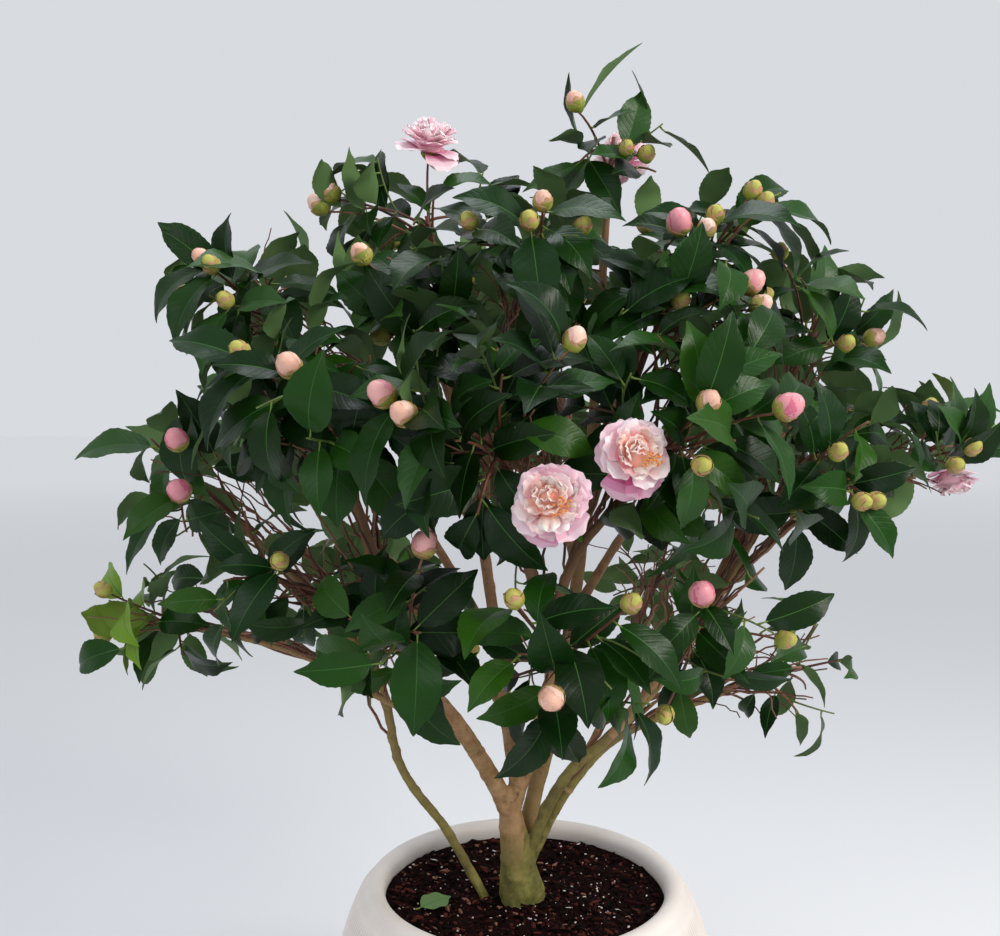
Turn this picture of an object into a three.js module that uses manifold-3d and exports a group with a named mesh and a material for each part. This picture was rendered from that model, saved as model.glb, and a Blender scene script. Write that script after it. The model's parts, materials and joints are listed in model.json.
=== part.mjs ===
// A flowering camellia shrub growing in a round-bellied ceramic pot.
// Millimetres, +Z up. The origin is the middle of the pot's flat underside, and +Y points away from
// the side that is seen first.
// The pot is filled with soil. A short swollen trunk stands on the soil and forks low down. Each
// bough is one tapering limb that ends where it enters the mass of foliage that it carries. Each mass
// keeps to its own space, and is one stem with shoots, leaves, flower buds and blossoms fused on.
import * as THREE from "three";
import { mergeVertices } from "three/addons/utils/BufferGeometryUtils.js";
import Module from "manifold-3d";

const wasm = await Module();
wasm.setup();
const { Manifold, Mesh: SolidMesh } = wasm;
const vec = (x, y, z) => new THREE.Vector3(x, y, z);
const UP = vec(0, 0, 1);

// The pot: a belly that is part of an ellipse, under a thick rolled lip.
const POT_HEIGHT = 360;
const POT_BELLY_RADIUS = 235;
const POT_BELLY_LEVEL = 190;
const POT_BELLY_REACH = 293;
const POT_WALL = 14;
const POT_FLOOR = 20;
const POT_FOOT_RADIUS = 172;
const POT_FOOT_ROUNDING = 14;
const LIP_INNER_RADIUS = 168;
const LIP_OUTER_RADIUS = 190;
const LIP_DEPTH = 14;
const POT_FACETS = 30;
const POT_RINGS = [0.14, 0.3, 0.5, 0.7, 0.86];
const WALL_RINGS = [0.35, 0.7];

// The soil's middle is flat, and it rises a little towards the wall.
const SOIL_LEVEL = 334;
const SOIL_RISE = 5;
const SOIL_FLAT_RADIUS = 75;
const SOIL_CLEARANCE = 0.9;

// Clearances between neighbouring solids.
const SEAT_GAP = 0.3;
const LIMB_GAP = 1.2;
const CELL_MARGIN = 1.5;
const SHORTEST_EDGE = 0.004;
const SLIVER_STEP = 0.35;

// Leaves are drawn as kites of six faces, a little larger than life.
const LEAF_LENGTH = 114;
const LEAF_WIDTH_SHARE = 0.6;
const LEAF_WIDEST_AT = 0.42;
const LEAF_ARCH = 0.11;
const LEAF_DEPTH = 0.04;
const LEAF_TRIES = 16;
const LEAF_TURN = 0.7;
const LEAVES_PER_SHOOT = 6;
const LEAF_SPACING = 13;
const LEAF_SUNK = 0.5;
const GOLDEN_ANGLE = 2.39996;

// Shoots grow on the side of a mass that looks out of the crown, and a little way round it.
const BACK_SHARE = -0.35;
const SHORTEST_SHOOT = 32;
const SHOOT_TRIES = 16;
const SHOOT_ROOT_RADIUS = 2;
const SHOOT_TIP_RADIUS = 1.8;
const STEM_TIP_RADIUS = 4;
const BUD_LENGTH = 27;
const BUD_RADIUS = 11.5;
const BLOSSOM_RADIUS = 38;

// The whole crown is a flattened ball: leaves grow in its outer part, and its middle is bare twigs.
const CROWN_CENTRE = vec(0, 0, 860);
const CROWN_REACH = vec(540, 440, 480);
const BARE_SHARE = 0.4;

// The trunk's line up to its fork, with its radius at each point: swollen at the foot.
const TRUNK_WAY = [[-4, 0, 310], [-5, 0, 345], [-9, -2, 380], [-14, -4, 418], [-21, -6, 466]];
const TRUNK_RADII = [30, 26, 19, 15.5, 10];

// One bough for each mass. It leaves its parent at the share "at" of the parent's length, passes the
// points that show under the crown, and ends where it enters its mass. Radii run from root to tip.
const BOUGHS = [
  { to: "left_front", from: "trunk", at: 0.86, radii: [11, 5],
    past: [[-48, -25, 505], [-81, -60, 569], [-125, -95, 638]] },
  { to: "centre_front", from: "trunk", at: 0.86, radii: [11, 5],
    past: [[-2, -5, 489], [16, -12, 543], [30, -50, 610]] },
  { to: "top_left", from: "centre_front", at: 0.06, radii: [8.5, 4.2],
    past: [[-17, 15, 519], [-25, 34, 578], [-50, 26, 760]] },
  { to: "top_spire", from: "trunk", at: 0.26, radii: [11, 4.2],
    past: [[7, 22, 425], [15, 34, 457], [39, 55, 538], [75, 60, 780]] },
  { to: "right_mid", from: "trunk", at: 0.3, radii: [7.5, 4.4],
    past: [[24, -8, 440], [52, -22, 495], [98, -42, 545], [170, -70, 640]] },
  { to: "low_right", from: "trunk", at: 0.24, radii: [6, 4],
    past: [[32, 12, 424], [62, 16, 471], [110, 18, 521]] },
  { to: "left_mid", from: "soil", radii: [5.8, 4],
    past: [[-42, 5, 320], [-94, -10, 421], [-146, -22, 500], [-176, -32, 620]] },
  { to: "left_low", from: "left_front", at: 0.22, radii: [4.2, 3.8],
    past: [[-182, -62, 604], [-262, -44, 642]] },
  { to: "low_left_front", from: "left_front", at: 0.4, radii: [5, 4] },
  { to: "left_low_front", from: "left_front", at: 0.52, radii: [5, 4] },
  { to: "low_front", from: "centre_front", at: 0.42, radii: [5, 4] },
  { to: "right_front", from: "centre_front", at: 0.55, radii: [6, 4] },
  { to: "top_mid", from: "top_left", at: 0.5, radii: [6, 4] },
  { to: "upper_front_left", from: "top_left", at: 0.4, radii: [5, 4] },
  { to: "upper_front_right", from: "right_front", at: 0.3, radii: [5, 4] },
  { to: "upper_left", from: "top_left", at: 0.5, radii: [6, 4] },
  { to: "top_right", from: "top_spire", at: 0.62, radii: [6, 4] },
  { to: "back_top", from: "top_spire", at: 0.52, radii: [6.5, 4.2] },
  { to: "back_left", from: "top_left", at: 0.26, radii: [6.5, 4.2] },
  { to: "back_right", from: "top_spire", at: 0.4, radii: [6.5, 4.2] },
  { to: "back_mid", from: "top_spire", at: 0.46, radii: [6, 4] },
  { to: "back_low_left", from: "top_left", at: 0.14, radii: [5.5, 4] },
  { to: "back_low_right", from: "low_right", at: 0.34, radii: [5, 4] },
  { to: "low_right_front", from: "right_mid", at: 0.42, radii: [4.8, 4] },
  { to: "upper_right", from: "right_mid", at: 0.66, radii: [6, 4] },
  { to: "right_tip", from: "right_mid", at: 0.84, radii: [4.8, 3.8] },
];
const BOUGH_ENTRY = 0.62;
const BOUGH_SWEEP = 0.16;
const RING_SPACING = 54;
const TRUNK_RING_SPACING = 27;

// A mass of foliage: the middle and reach of its space, its count of shoots, and how many of them
// end in a flower bud. A blossom stands at a point and faces a way.
const MASSES = [
  { name: "top_spire", at: [99, -20, 1228], reach: [88, 92, 118], count: 4, buds: 1,
    blossoms: [{ at: [118, 22, 1222], faces: [0.1, 0.6, 0.8] }] },
  { name: "top_left", at: [-108, -55, 1130], reach: [135, 130, 92], count: 4, buds: 1,
    blossoms: [{ at: [-112, -62, 1196], faces: [0.25, -0.3, 0.9] }] },
  { name: "top_mid", at: [10, -160, 1075], reach: [130, 130, 100], count: 4, buds: 1 },
  { name: "top_right", at: [195, -80, 1090], reach: [140, 135, 92], count: 4, buds: 2 },
  { name: "upper_right", at: [335, 0, 1010], reach: [135, 150, 110], count: 5, buds: 2 },
  { name: "upper_left", at: [-290, -50, 1035], reach: [140, 150, 112], count: 5, buds: 2 },
  { name: "left_front", at: [-200, -235, 925], reach: [150, 118, 140], count: 5, buds: 1 },
  { name: "left_mid", at: [-385, -30, 852], reach: [122, 150, 125], count: 4, buds: 1 },
  { name: "left_low", at: [-428, 0, 676], reach: [120, 92, 72], count: 3, buds: 1 },
  { name: "left_low_front", at: [-262, -140, 755], reach: [125, 130, 110], count: 4, buds: 0 },
  { name: "centre_front", at: [-32, -295, 905], reach: [138, 112, 145], count: 4, buds: 0,
    blossoms: [{ at: [13, -362, 846], faces: [-0.15, -0.85, 0.35] }] },
  { name: "right_front", at: [128, -255, 905], reach: [138, 120, 145], count: 4, buds: 1,
    blossoms: [{ at: [86, -338, 884], faces: [0.1, -0.9, 0.3] }] },
  { name: "upper_front_left", at: [-100, -180, 1018], reach: [110, 105, 100], count: 4, buds: 1 },
  { name: "upper_front_right", at: [128, -180, 1012], reach: [110, 105, 100], count: 4, buds: 1 },
  { name: "right_mid", at: [295, -130, 880], reach: [135, 135, 130], count: 4, buds: 1 },
  { name: "right_tip", at: [462, -36, 882], reach: [106, 108, 88], count: 4, buds: 1,
    blossoms: [{ at: [484, -62, 852], faces: [0.35, -0.4, -0.8] }] },
  { name: "low_left_front", at: [-128, -235, 715], reach: [120, 110, 118], count: 4, buds: 1 },
  { name: "low_front", at: [25, -285, 700], reach: [110, 104, 128], count: 4, buds: 1 },
  { name: "low_right_front", at: [178, -195, 722], reach: [122, 120, 110], count: 4, buds: 1 },
  { name: "low_right", at: [318, -20, 628], reach: [118, 130, 125], count: 4, buds: 0 },
  { name: "back_left", at: [-300, 190, 920], reach: [150, 145, 145], count: 5, buds: 1 },
  { name: "back_top", at: [10, 170, 1075], reach: [160, 150, 125], count: 5, buds: 2 },
  { name: "back_right", at: [300, 190, 900], reach: [150, 145, 145], count: 5, buds: 1 },
  { name: "back_mid", at: [0, 300, 870], reach: [155, 125, 150], count: 5, buds: 1 },
  { name: "back_low_left", at: [-225, 210, 700], reach: [135, 125, 112], count: 4, buds: 1 },
  { name: "back_low_right", at: [195, 245, 690], reach: [135, 125, 112], count: 4, buds: 0 },
];

const LOOKS = {
  pot: { color: 0xe4ddd3, roughness: 0.55 },
  soil: { color: 0x2e1a14, roughness: 0.95 },
  bark: { color: 0x9a7a62, roughness: 0.8 },
  foliage: { color: 0x23452a, roughness: 0.4 },
};

// Numbers from 0 to 1 that are the same each time for one seed.
function seeded(seed) {
  let state = seed >>> 0;
  return () => {
    state = (state + 0x6d2b79f5) >>> 0;
    let t = Math.imul(state ^ (state >>> 15), state | 1);
    t ^= t + Math.imul(t ^ (t >>> 7), t | 61);
    return ((t ^ (t >>> 14)) >>> 0) / 4294967296;
  };
}

// Closed three.js geometry to a solid, and back.
function solidOf(geometry) {
  const bare = geometry.clone();
  bare.deleteAttribute("normal");
  bare.deleteAttribute("uv");
  const merged = mergeVertices(bare, 1e-4);
  return new Manifold(new SolidMesh({
    numProp: 3,
    vertProperties: merged.attributes.position.array,
    triVerts: new Uint32Array(merged.index.array),
  }));
}

function geometryOf(solid) {
  const mesh = solid.getMesh();
  const geometry = new THREE.BufferGeometry();
  const corners = new Float32Array(mesh.vertProperties);
  geometry.setAttribute("position", new THREE.BufferAttribute(corners, 3));
  geometry.setIndex(new THREE.BufferAttribute(new Uint32Array(mesh.triVerts), 1));
  geometry.computeVertexNormals();
  return geometry;
}

// Joins solids into one body: a scrap that touches nothing is dropped and a sealed hollow is filled.
function joined(solids) {
  const parts = Manifold.union(solids).decompose();
  return parts.reduce((most, part) => (part.volume() > most.volume() ? part : most));
}

// Joins a leaf to a body. If that leaves a sliver of an edge, the leaf is moved a little along its shoot.
function withLeaf(body, leaf) {
  const allowed = Math.min(SHORTEST_EDGE, 0.99 * shortestEdge(body));
  for (let step = 0; step < 6; step++) {
    const move = leaf.tangent.clone().multiplyScalar(step * SLIVER_STEP);
    const corners = {};
    for (const corner of ["base", "right", "tip", "left", "middle"]) {
      corners[corner] = leaf[corner].clone().add(move);
    }
    const whole = body.add(leafSolid(corners));
    if (shortestEdge(whole) > allowed) return whole;
  }
  return body;
}

function shortestEdge(solid) {
  const { vertProperties, triVerts } = solid.getMesh();
  const corner = (i) => vec(...vertProperties.subarray(triVerts[i] * 3, triVerts[i] * 3 + 3));
  let shortest = Infinity;
  for (let i = 0; i < triVerts.length; i += 3) {
    const [a, b, c] = [corner(i), corner(i + 1), corner(i + 2)];
    shortest = Math.min(shortest, a.distanceTo(b), b.distanceTo(c), c.distanceTo(a));
  }
  return shortest;
}

// The rings that a limb is drawn through: points evenly along a curve, each with its own turn and
// radius, and the corners of a ring.
function ringsAlong(curve, radiusAt, count) {
  const { normals, binormals } = curve.computeFrenetFrames(count, false);
  return normals.map((normal, i) => {
    const share = i / count;
    return { point: curve.getPointAt(share), normal, binormal: binormals[i], radius: radiusAt(share) };
  });
}

function onRing(ring, x, z) {
  return ring.point.clone().addScaledVector(ring.normal, x * ring.radius)
    .addScaledVector(ring.binormal, -z * ring.radius);
}

// A limb: a cylinder whose rings are carried to the given ones.
function limbGeometry(rings, sides) {
  const geometry = new THREE.CylinderGeometry(1, 1, 1, sides, rings.length - 1);
  const place = geometry.attributes.position;
  for (let i = 0; i < place.count; i++) {
    const ring = rings[Math.round((place.getY(i) + 0.5) * (rings.length - 1))];
    const to = onRing(ring, place.getX(i), place.getZ(i));
    place.setXYZ(i, to.x, to.y, to.z);
  }
  return geometry;
}

// A point just under the flat of a three-sided limb that looks most the way that a leaf points.
function underFlat(rings, share, along) {
  const step = share * (rings.length - 1);
  const i = Math.min(Math.floor(step), rings.length - 2);
  const corners = [0, 1, 2].map((k) => {
    const turn = (2 * Math.PI * k) / 3;
    const [x, z] = [Math.sin(turn), Math.cos(turn)];
    return onRing(rings[i], x, z).lerp(onRing(rings[i + 1], x, z), step - i);
  });
  const centre = vec().add(corners[0]).add(corners[1]).add(corners[2]).divideScalar(3);
  const way = rings[i + 1].point.clone().sub(rings[i].point).normalize();
  const flats = corners.map((corner, k) => {
    const middle = corner.clone().lerp(corners[(k + 1) % 3], 0.5);
    const out = middle.clone().sub(centre);
    return { middle, out: out.addScaledVector(way, -out.dot(way)).normalize() };
  });
  const flat = flats.reduce((best, one) => (one.out.dot(along) > best.out.dot(along) ? one : best));
  return flat.middle.addScaledVector(flat.out, -LEAF_SUNK);
}

// How near two straight pieces come to each other.
function nearest(a, b, c, d) {
  const u = b.clone().sub(a), v = d.clone().sub(c), w = a.clone().sub(c);
  const uu = u.dot(u), uv = u.dot(v), vv = v.dot(v), uw = u.dot(w), vw = v.dot(w);
  const across = uu * vv - uv * uv;
  let s = across > 1e-9 ? THREE.MathUtils.clamp((uv * vw - vv * uw) / across, 0, 1) : 0;
  const t = THREE.MathUtils.clamp((uv * s + vw) / vv, 0, 1);
  s = THREE.MathUtils.clamp((uv * t - uw) / uu, 0, 1);
  return a.clone().addScaledVector(u, s).distanceTo(c.clone().addScaledVector(v, t));
}

// Pot and soil
function bellyRadius(level) {
  const share = (level - POT_BELLY_LEVEL) / POT_BELLY_REACH;
  return POT_BELLY_RADIUS * Math.sqrt(1 - share * share);
}

function potGeometry() {
  const outline = [[0, 0], [POT_FOOT_RADIUS, 0]];
  const shoulder = POT_HEIGHT - LIP_DEPTH;
  for (const share of [0, ...POT_RINGS, 1]) {
    const level = THREE.MathUtils.lerp(POT_FOOT_ROUNDING, shoulder, share);
    outline.push([bellyRadius(level), level]);
  }
  // The lip's rolled edge is a half round between its outer and inner radius.
  const middle = (LIP_INNER_RADIUS + LIP_OUTER_RADIUS) / 2;
  const half = (LIP_OUTER_RADIUS - LIP_INNER_RADIUS) / 2;
  for (let i = 0; i <= 4; i++) {
    const turn = (Math.PI * i) / 4;
    outline.push([middle + half * Math.cos(turn), shoulder + 2 + (LIP_DEPTH - 2) * Math.sin(turn)]);
  }
  outline.push(...wallOutline(0).reverse(), [0, POT_FLOOR]);
  return standing(outline);
}

// The inside of the pot's wall from its floor up to its neck, moved inwards by a gap.
function wallOutline(gap) {
  const neck = POT_HEIGHT - LIP_DEPTH - 6;
  const outline = [[bellyRadius(POT_FLOOR) - POT_WALL - gap, POT_FLOOR + gap]];
  for (const share of WALL_RINGS) {
    const level = THREE.MathUtils.lerp(POT_FLOOR, neck, share);
    outline.push([bellyRadius(level) - POT_WALL - gap, level]);
  }
  outline.push([LIP_INNER_RADIUS - gap, neck]);
  return outline;
}

function soilGeometry() {
  const outline = wallOutline(SOIL_CLEARANCE);
  const neck = outline.pop();
  const last = outline[outline.length - 1];
  const brim = SOIL_LEVEL + SOIL_RISE;
  const share = (brim - last[1]) / (neck[1] - last[1]);
  outline.unshift([0, POT_FLOOR + SOIL_CLEARANCE]);
  outline.push([THREE.MathUtils.lerp(last[0], neck[0], share), brim]);
  outline.push([SOIL_FLAT_RADIUS, SOIL_LEVEL], [0, SOIL_LEVEL]);
  return standing(outline);
}

// An outline of [radius, level] points turned round the Z axis.
function standing(outline) {
  const points = outline.map(([radius, level]) => new THREE.Vector2(radius, level));
  return new THREE.LatheGeometry(points, POT_FACETS).rotateX(Math.PI / 2);
}

// Limbs
function radiusAlong(radii) {
  return (share) => {
    const step = share * (radii.length - 1);
    const i = Math.min(Math.floor(step), radii.length - 2);
    return THREE.MathUtils.lerp(radii[i], radii[i + 1], step - i);
  };
}

// Works out the rings of each limb, and the ring at which it parts from the others. Up to that ring it
// is a collar, which belongs to the limb that it stands on.
function layOutLimbs(masses) {
  const limbs = new Map();
  const trunkCurve = new THREE.CatmullRomCurve3(TRUNK_WAY.map((point) => vec(...point)));
  limbs.set("trunk", limbAlong("trunk", null, trunkCurve, TRUNK_RADII, 9, TRUNK_RING_SPACING));
  for (const { to, from, at, radii, past = [] } of BOUGHS) {
    const parent = limbs.get(from);
    const mass = masses.find(({ name }) => name === to);
    const points = past.map((point) => vec(...point));
    if (parent) points.unshift(parent.curve.getPointAt(at));
    const last = points[points.length - 1];
    const back = last.clone().sub(mass.centre);
    const entry = back.clone().multiplyScalar(BOUGH_ENTRY / back.clone().divide(mass.reach).length());
    entry.add(mass.centre);
    if (points.length === 1) {
      const sweep = parent.curve.getTangentAt(at).multiplyScalar(BOUGH_SWEEP * last.distanceTo(entry));
      points.push(last.clone().lerp(entry, 0.5).add(sweep));
    }
    const curve = new THREE.CatmullRomCurve3([...points, entry]);
    const sides = radii[0] > 7 ? 6 : 4;
    limbs.set(to, { ...limbAlong("bough_" + to, parent, curve, radii, sides, RING_SPACING), at });
  }
  for (const limb of limbs.values()) {
    limb.parting = partingRing(limb, limbs);
    let owner = limb.parent;
    while (owner?.parent && limb.at * (owner.rings.length - 1) < owner.parting) owner = owner.parent;
    owner?.collars.push(limb);
  }
  return limbs;
}

function limbAlong(name, parent, curve, radii, sides, spacing) {
  const count = Math.max(3, Math.round(curve.getLength() / spacing));
  const rings = ringsAlong(curve, radiusAlong(radii), count);
  return { name, parent, curve, sides, rings, tipRadius: radii[radii.length - 1], collars: [] };
}

// The first ring from which a limb is clear of every limb that doesn't grow on it.
function partingRing(limb, limbs) {
  if (!limb.parent) return 0;
  const beside = [...limbs.values()].filter((other) => {
    while (other && other !== limb) other = other.parent;
    return !other;
  });
  for (let i = limb.rings.length - 2; i > 0; i--) {
    const near = beside.some(({ rings }) => rings.slice(1).some((ring, j) => {
      const room = nearest(limb.rings[i].point, limb.rings[i + 1].point, rings[j].point, ring.point);
      return room < limb.rings[i].radius + rings[j].radius + LIMB_GAP;
    }));
    if (near) return i + 1;
  }
  return 1;
}

// A limb with the collars of the limbs that leave it. A limb that stands in the soil is cut flat there.
function limbSolid(limb) {
  const pieces = [solidOf(limbGeometry(limb.rings.slice(limb.parting), limb.sides))];
  for (const { rings, parting, sides } of limb.collars) {
    const last = rings[parting];
    const tangent = last.normal.clone().cross(last.binormal).negate();
    const away = rings[parting].point.clone().sub(rings[parting - 1].point);
    if (tangent.dot(away) < 0) tangent.negate();
    const end = { ...last, point: last.point.clone().addScaledVector(tangent, -SEAT_GAP) };
    pieces.push(solidOf(limbGeometry([...rings.slice(0, parting), end], sides)));
  }
  const whole = joined(pieces);
  if (limb.parent) return whole;
  const below = new THREE.BoxGeometry(400, 400, 200).translate(0, 0, SOIL_LEVEL + SEAT_GAP - 100);
  return joined([whole.subtract(solidOf(below))]);
}

// Foliage

// A mass's own space: inside its reach, and on its own side of the planes halfway to its neighbours.
// The planes lie nearer to the smaller of two masses.
function ownSpace(mass, masses) {
  const planes = [];
  for (const other of masses) {
    if (other === mass) continue;
    const way = other.centre.clone().sub(mass.centre);
    const apart = way.length();
    way.normalize();
    const at = (apart * apart + mass.size * mass.size - other.size * other.size) / (2 * apart);
    planes.push({ way, limit: at - CELL_MARGIN });
  }
  return (point) => {
    const off = point.clone().sub(mass.centre);
    if (off.clone().divide(mass.reach).length() > 1) return false;
    return planes.every(({ way, limit }) => off.dot(way) < limit);
  };
}

// True if a chain of points with a radius keeps clear of every limb.
function clearOfLimbs(points, radius, limbs, own) {
  return [...limbs.values()].every((limb) => limb === own || limb.rings.slice(1).every((ring, j) => {
    const before = limb.rings[j];
    if (before.point.distanceTo(points[0]) > 220) return true;
    const room = before.radius + radius + LIMB_GAP;
    return points.slice(1).every((point, i) => nearest(points[i], point, before.point, ring.point) > room);
  }));
}

// A leaf's five corners. Its middle stands a little above its sides, and the leaf arches over it.
function leafCorners({ base, along, face, length }) {
  const side = face.clone().cross(along);
  const half = (length * LEAF_WIDTH_SHARE) / 2;
  const middle = base.clone().addScaledVector(along, length * LEAF_WIDEST_AT)
    .addScaledVector(face, length * LEAF_ARCH);
  const edge = (way) => middle.clone().addScaledVector(side, way * half)
    .addScaledVector(face, -length * LEAF_DEPTH);
  return { base, right: edge(-1), tip: base.clone().addScaledVector(along, length), left: edge(1), middle };
}

// Six faces: four above, that meet at the leaf's middle, and two below.
function leafSolid({ base, right, tip, left, middle }) {
  const geometry = new THREE.BufferGeometry().setFromPoints([base, right, tip, left, middle]);
  geometry.setIndex([0, 1, 4, 1, 2, 4, 2, 3, 4, 3, 0, 4, 0, 3, 1, 3, 2, 1]);
  return solidOf(geometry);
}

// A bud: a pointed ball that stands on the end of its shoot.
function budSolid({ base, along, length, radius }) {
  const outline = [[0, -0.12], [0.9, 0.3], [0.72, 0.7], [0, 1]];
  const points = outline.map(([r, h]) => new THREE.Vector2(r * radius, h * length));
  const geometry = new THREE.LatheGeometry(points, 4);
  const turn = new THREE.Quaternion().setFromUnitVectors(vec(0, 1, 0), along);
  return solidOf(geometry.applyQuaternion(turn).translate(base.x, base.y, base.z));
}

// An open blossom: a shallow cup of lobed petals round a domed middle.
function blossomSolid({ at, faces }) {
  const outline = [[0, -0.5], [0.96, 0], [0.6, 0.42], [0, 0.56]];
  const points = outline.map(([r, h]) => new THREE.Vector2(r * BLOSSOM_RADIUS, h * BLOSSOM_RADIUS));
  const geometry = new THREE.LatheGeometry(points, 10);
  const place = geometry.attributes.position;
  for (let i = 0; i < place.count; i++) {
    const x = place.getX(i), z = place.getZ(i);
    const lobe = 1 + 0.08 * Math.cos(5 * Math.atan2(z, x));
    place.setX(i, x * lobe);
    place.setZ(i, z * lobe);
  }
  const turn = new THREE.Quaternion().setFromUnitVectors(vec(0, 1, 0), faces);
  return solidOf(geometry.applyQuaternion(turn).translate(at.x, at.y, at.z));
}

function shootRadius(share) {
  return THREE.MathUtils.lerp(SHOOT_ROOT_RADIUS, SHOOT_TIP_RADIUS, share);
}

function twigSolid(rings) {
  return solidOf(limbGeometry(rings, 3));
}

// The way of shoot number k: an even spread over the ball, in which the first few are spread evenly
// too, so that a fuller shrub can carry the same numbers on.
function spreadWay(k, start) {
  const u = (start + (k + 1) * 0.7548776662) % 1;
  const v = (start + (k + 1) * 0.5698402909) % 1;
  const z = 1 - 2 * u;
  const r = Math.sqrt(1 - z * z);
  return vec(r * Math.cos(2 * Math.PI * v), r * Math.sin(2 * Math.PI * v), z);
}

function bend(from, by, to) {
  return new THREE.QuadraticBezierCurve3(from, by, to);
}

// Where the leaf at one place on a shoot points, and where its upper face looks.
function leafAim(tangent, turn, outward, fromHeart, droop) {
  const across = Math.abs(tangent.z) < 0.9 ? UP.clone().cross(tangent) : vec(1, 0, 0).cross(tangent);
  across.normalize();
  const other = tangent.clone().cross(across);
  const along = across.multiplyScalar(Math.cos(turn)).addScaledVector(other, Math.sin(turn))
    .addScaledVector(tangent, 0.35).addScaledVector(UP, -droop).normalize();
  const face = outward.clone().multiplyScalar(0.5).addScaledVector(UP, 0.5);
  face.add(fromHeart.clone().addScaledVector(along, 0.5).normalize());
  face.addScaledVector(along, -face.dot(along));
  if (face.length() < 0.2) face.copy(UP.clone().cross(along).cross(along).negate());
  return { along, face: face.normalize() };
}

// A mass's place and size. "outward" is the way that it looks out of the crown.
function layOutMass(row) {
  const centre = vec(...row.at);
  const outward = centre.clone().sub(CROWN_CENTRE).divide(CROWN_REACH).normalize();
  const size = (row.reach[0] + row.reach[1] + row.reach[2]) / 3;
  return { ...row, centre, outward, size, reach: vec(...row.reach), shoots: [], leaves: [], solids: [] };
}

// A mass's stem runs from the tip of its bough to its heart, and each blossom stands on its own twig. A
// core is a line with a thickness that leaves keep off.
function growStem(mass, bough) {
  const end = bough.curve.getTangentAt(1);
  const start = bough.curve.getPointAt(1).addScaledVector(end, SEAT_GAP);
  const heart = mass.centre.clone().addScaledVector(mass.outward, 0.1 * mass.size);
  mass.stem = bend(start, start.clone().addScaledVector(end, start.distanceTo(heart) * 0.45), heart);
  const rings = ringsAlong(mass.stem, radiusAlong([bough.tipRadius, STEM_TIP_RADIUS]), 2);
  mass.solids.push(solidOf(limbGeometry(rings, 4)));
  mass.cores = [{ points: mass.stem.getPoints(4), radius: 5 }];
  for (const row of mass.blossoms ?? []) {
    const faces = vec(...row.faces).normalize();
    const at = vec(...row.at);
    const foot = at.clone().addScaledVector(faces, -0.4 * BLOSSOM_RADIUS);
    const twig = bend(mass.stem.getPointAt(0.8), foot.clone().addScaledVector(faces, -25), foot);
    mass.solids.push(twigSolid(ringsAlong(twig, shootRadius, 2)), blossomSolid({ at, faces }));
    mass.cores.push({ points: twig.getPoints(3), radius: 4 });
    mass.cores.push({ points: [foot, at.clone().addScaledVector(faces, 0.5 * BLOSSOM_RADIUS)], radius: 34 });
  }
}

// Grows one more shoot on a mass. Of the ways that keep to the mass's space and touch nothing, it takes
// the one that ends furthest from every tip there is, so the crown fills evenly.
function growShoot(mass, index, round, limbs, tips) {
  const bough = limbs.get(mass.name);
  let best = null;
  for (let k = round * SHOOT_TRIES; k < (round + 1) * SHOOT_TRIES; k++) {
    const random = seeded(index * 1000 + k);
    const way = spreadWay(k, index * 0.37);
    const lean = 0.44 + 0.22 * random();
    const rootShare = 0.35 + 0.6 * random();
    const turn = random() * 2 * Math.PI;
    const tip = mass.centre.clone().add(way.clone().multiply(mass.reach).multiplyScalar(lean));
    const root = mass.stem.getPointAt(rootShare);
    const reach = root.distanceTo(tip);
    if (way.dot(mass.outward) < BACK_SHARE || reach < SHORTEST_SHOOT || !mass.inside(tip)) continue;
    const sweep = mass.stem.getTangentAt(rootShare).multiplyScalar(reach * 0.22);
    const line = bend(root, root.clone().lerp(tip, 0.5).add(sweep), tip);
    const points = line.getPoints(4);
    if (!clearOfLimbs(points, SHOOT_ROOT_RADIUS, limbs, bough) || hitsBlossom(points, mass)) continue;
    const free = Math.min(...tips.map((other) => other.distanceTo(tip)));
    if (!best || free > best.free) best = { line, reach, turn, tip, free, seed: index * 1000 + k };
  }
  if (!best) return;
  best.rings = ringsAlong(best.line, shootRadius, 2);
  best.core = { points: best.line.getPoints(3), radius: 4 };
  tips.push(best.tip);
  mass.shoots.push(best);
  mass.cores.push(best.core);
  mass.solids.push(twigSolid(best.rings));
}

function hitsBlossom(points, mass) {
  return (mass.blossoms ?? []).some(({ at }) =>
    points.some((point) => point.distanceTo(vec(...at)) < BLOSSOM_RADIUS + 8));
}

// A bud on the end of each of a mass's first shoots.
function growBuds(mass) {
  for (const { line } of mass.shoots.slice(0, mass.buds)) {
    const along = line.getTangentAt(1).addScaledVector(mass.outward, 0.5).normalize();
    const base = line.getPointAt(1).addScaledVector(along, -1);
    const tip = base.clone().addScaledVector(along, BUD_LENGTH + BUD_RADIUS);
    if (!mass.inside(tip)) continue;
    mass.solids.push(budSolid({ base, along, length: BUD_LENGTH, radius: BUD_RADIUS }));
    mass.cores.push({ points: [base, tip], radius: 10 });
  }
}

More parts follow.
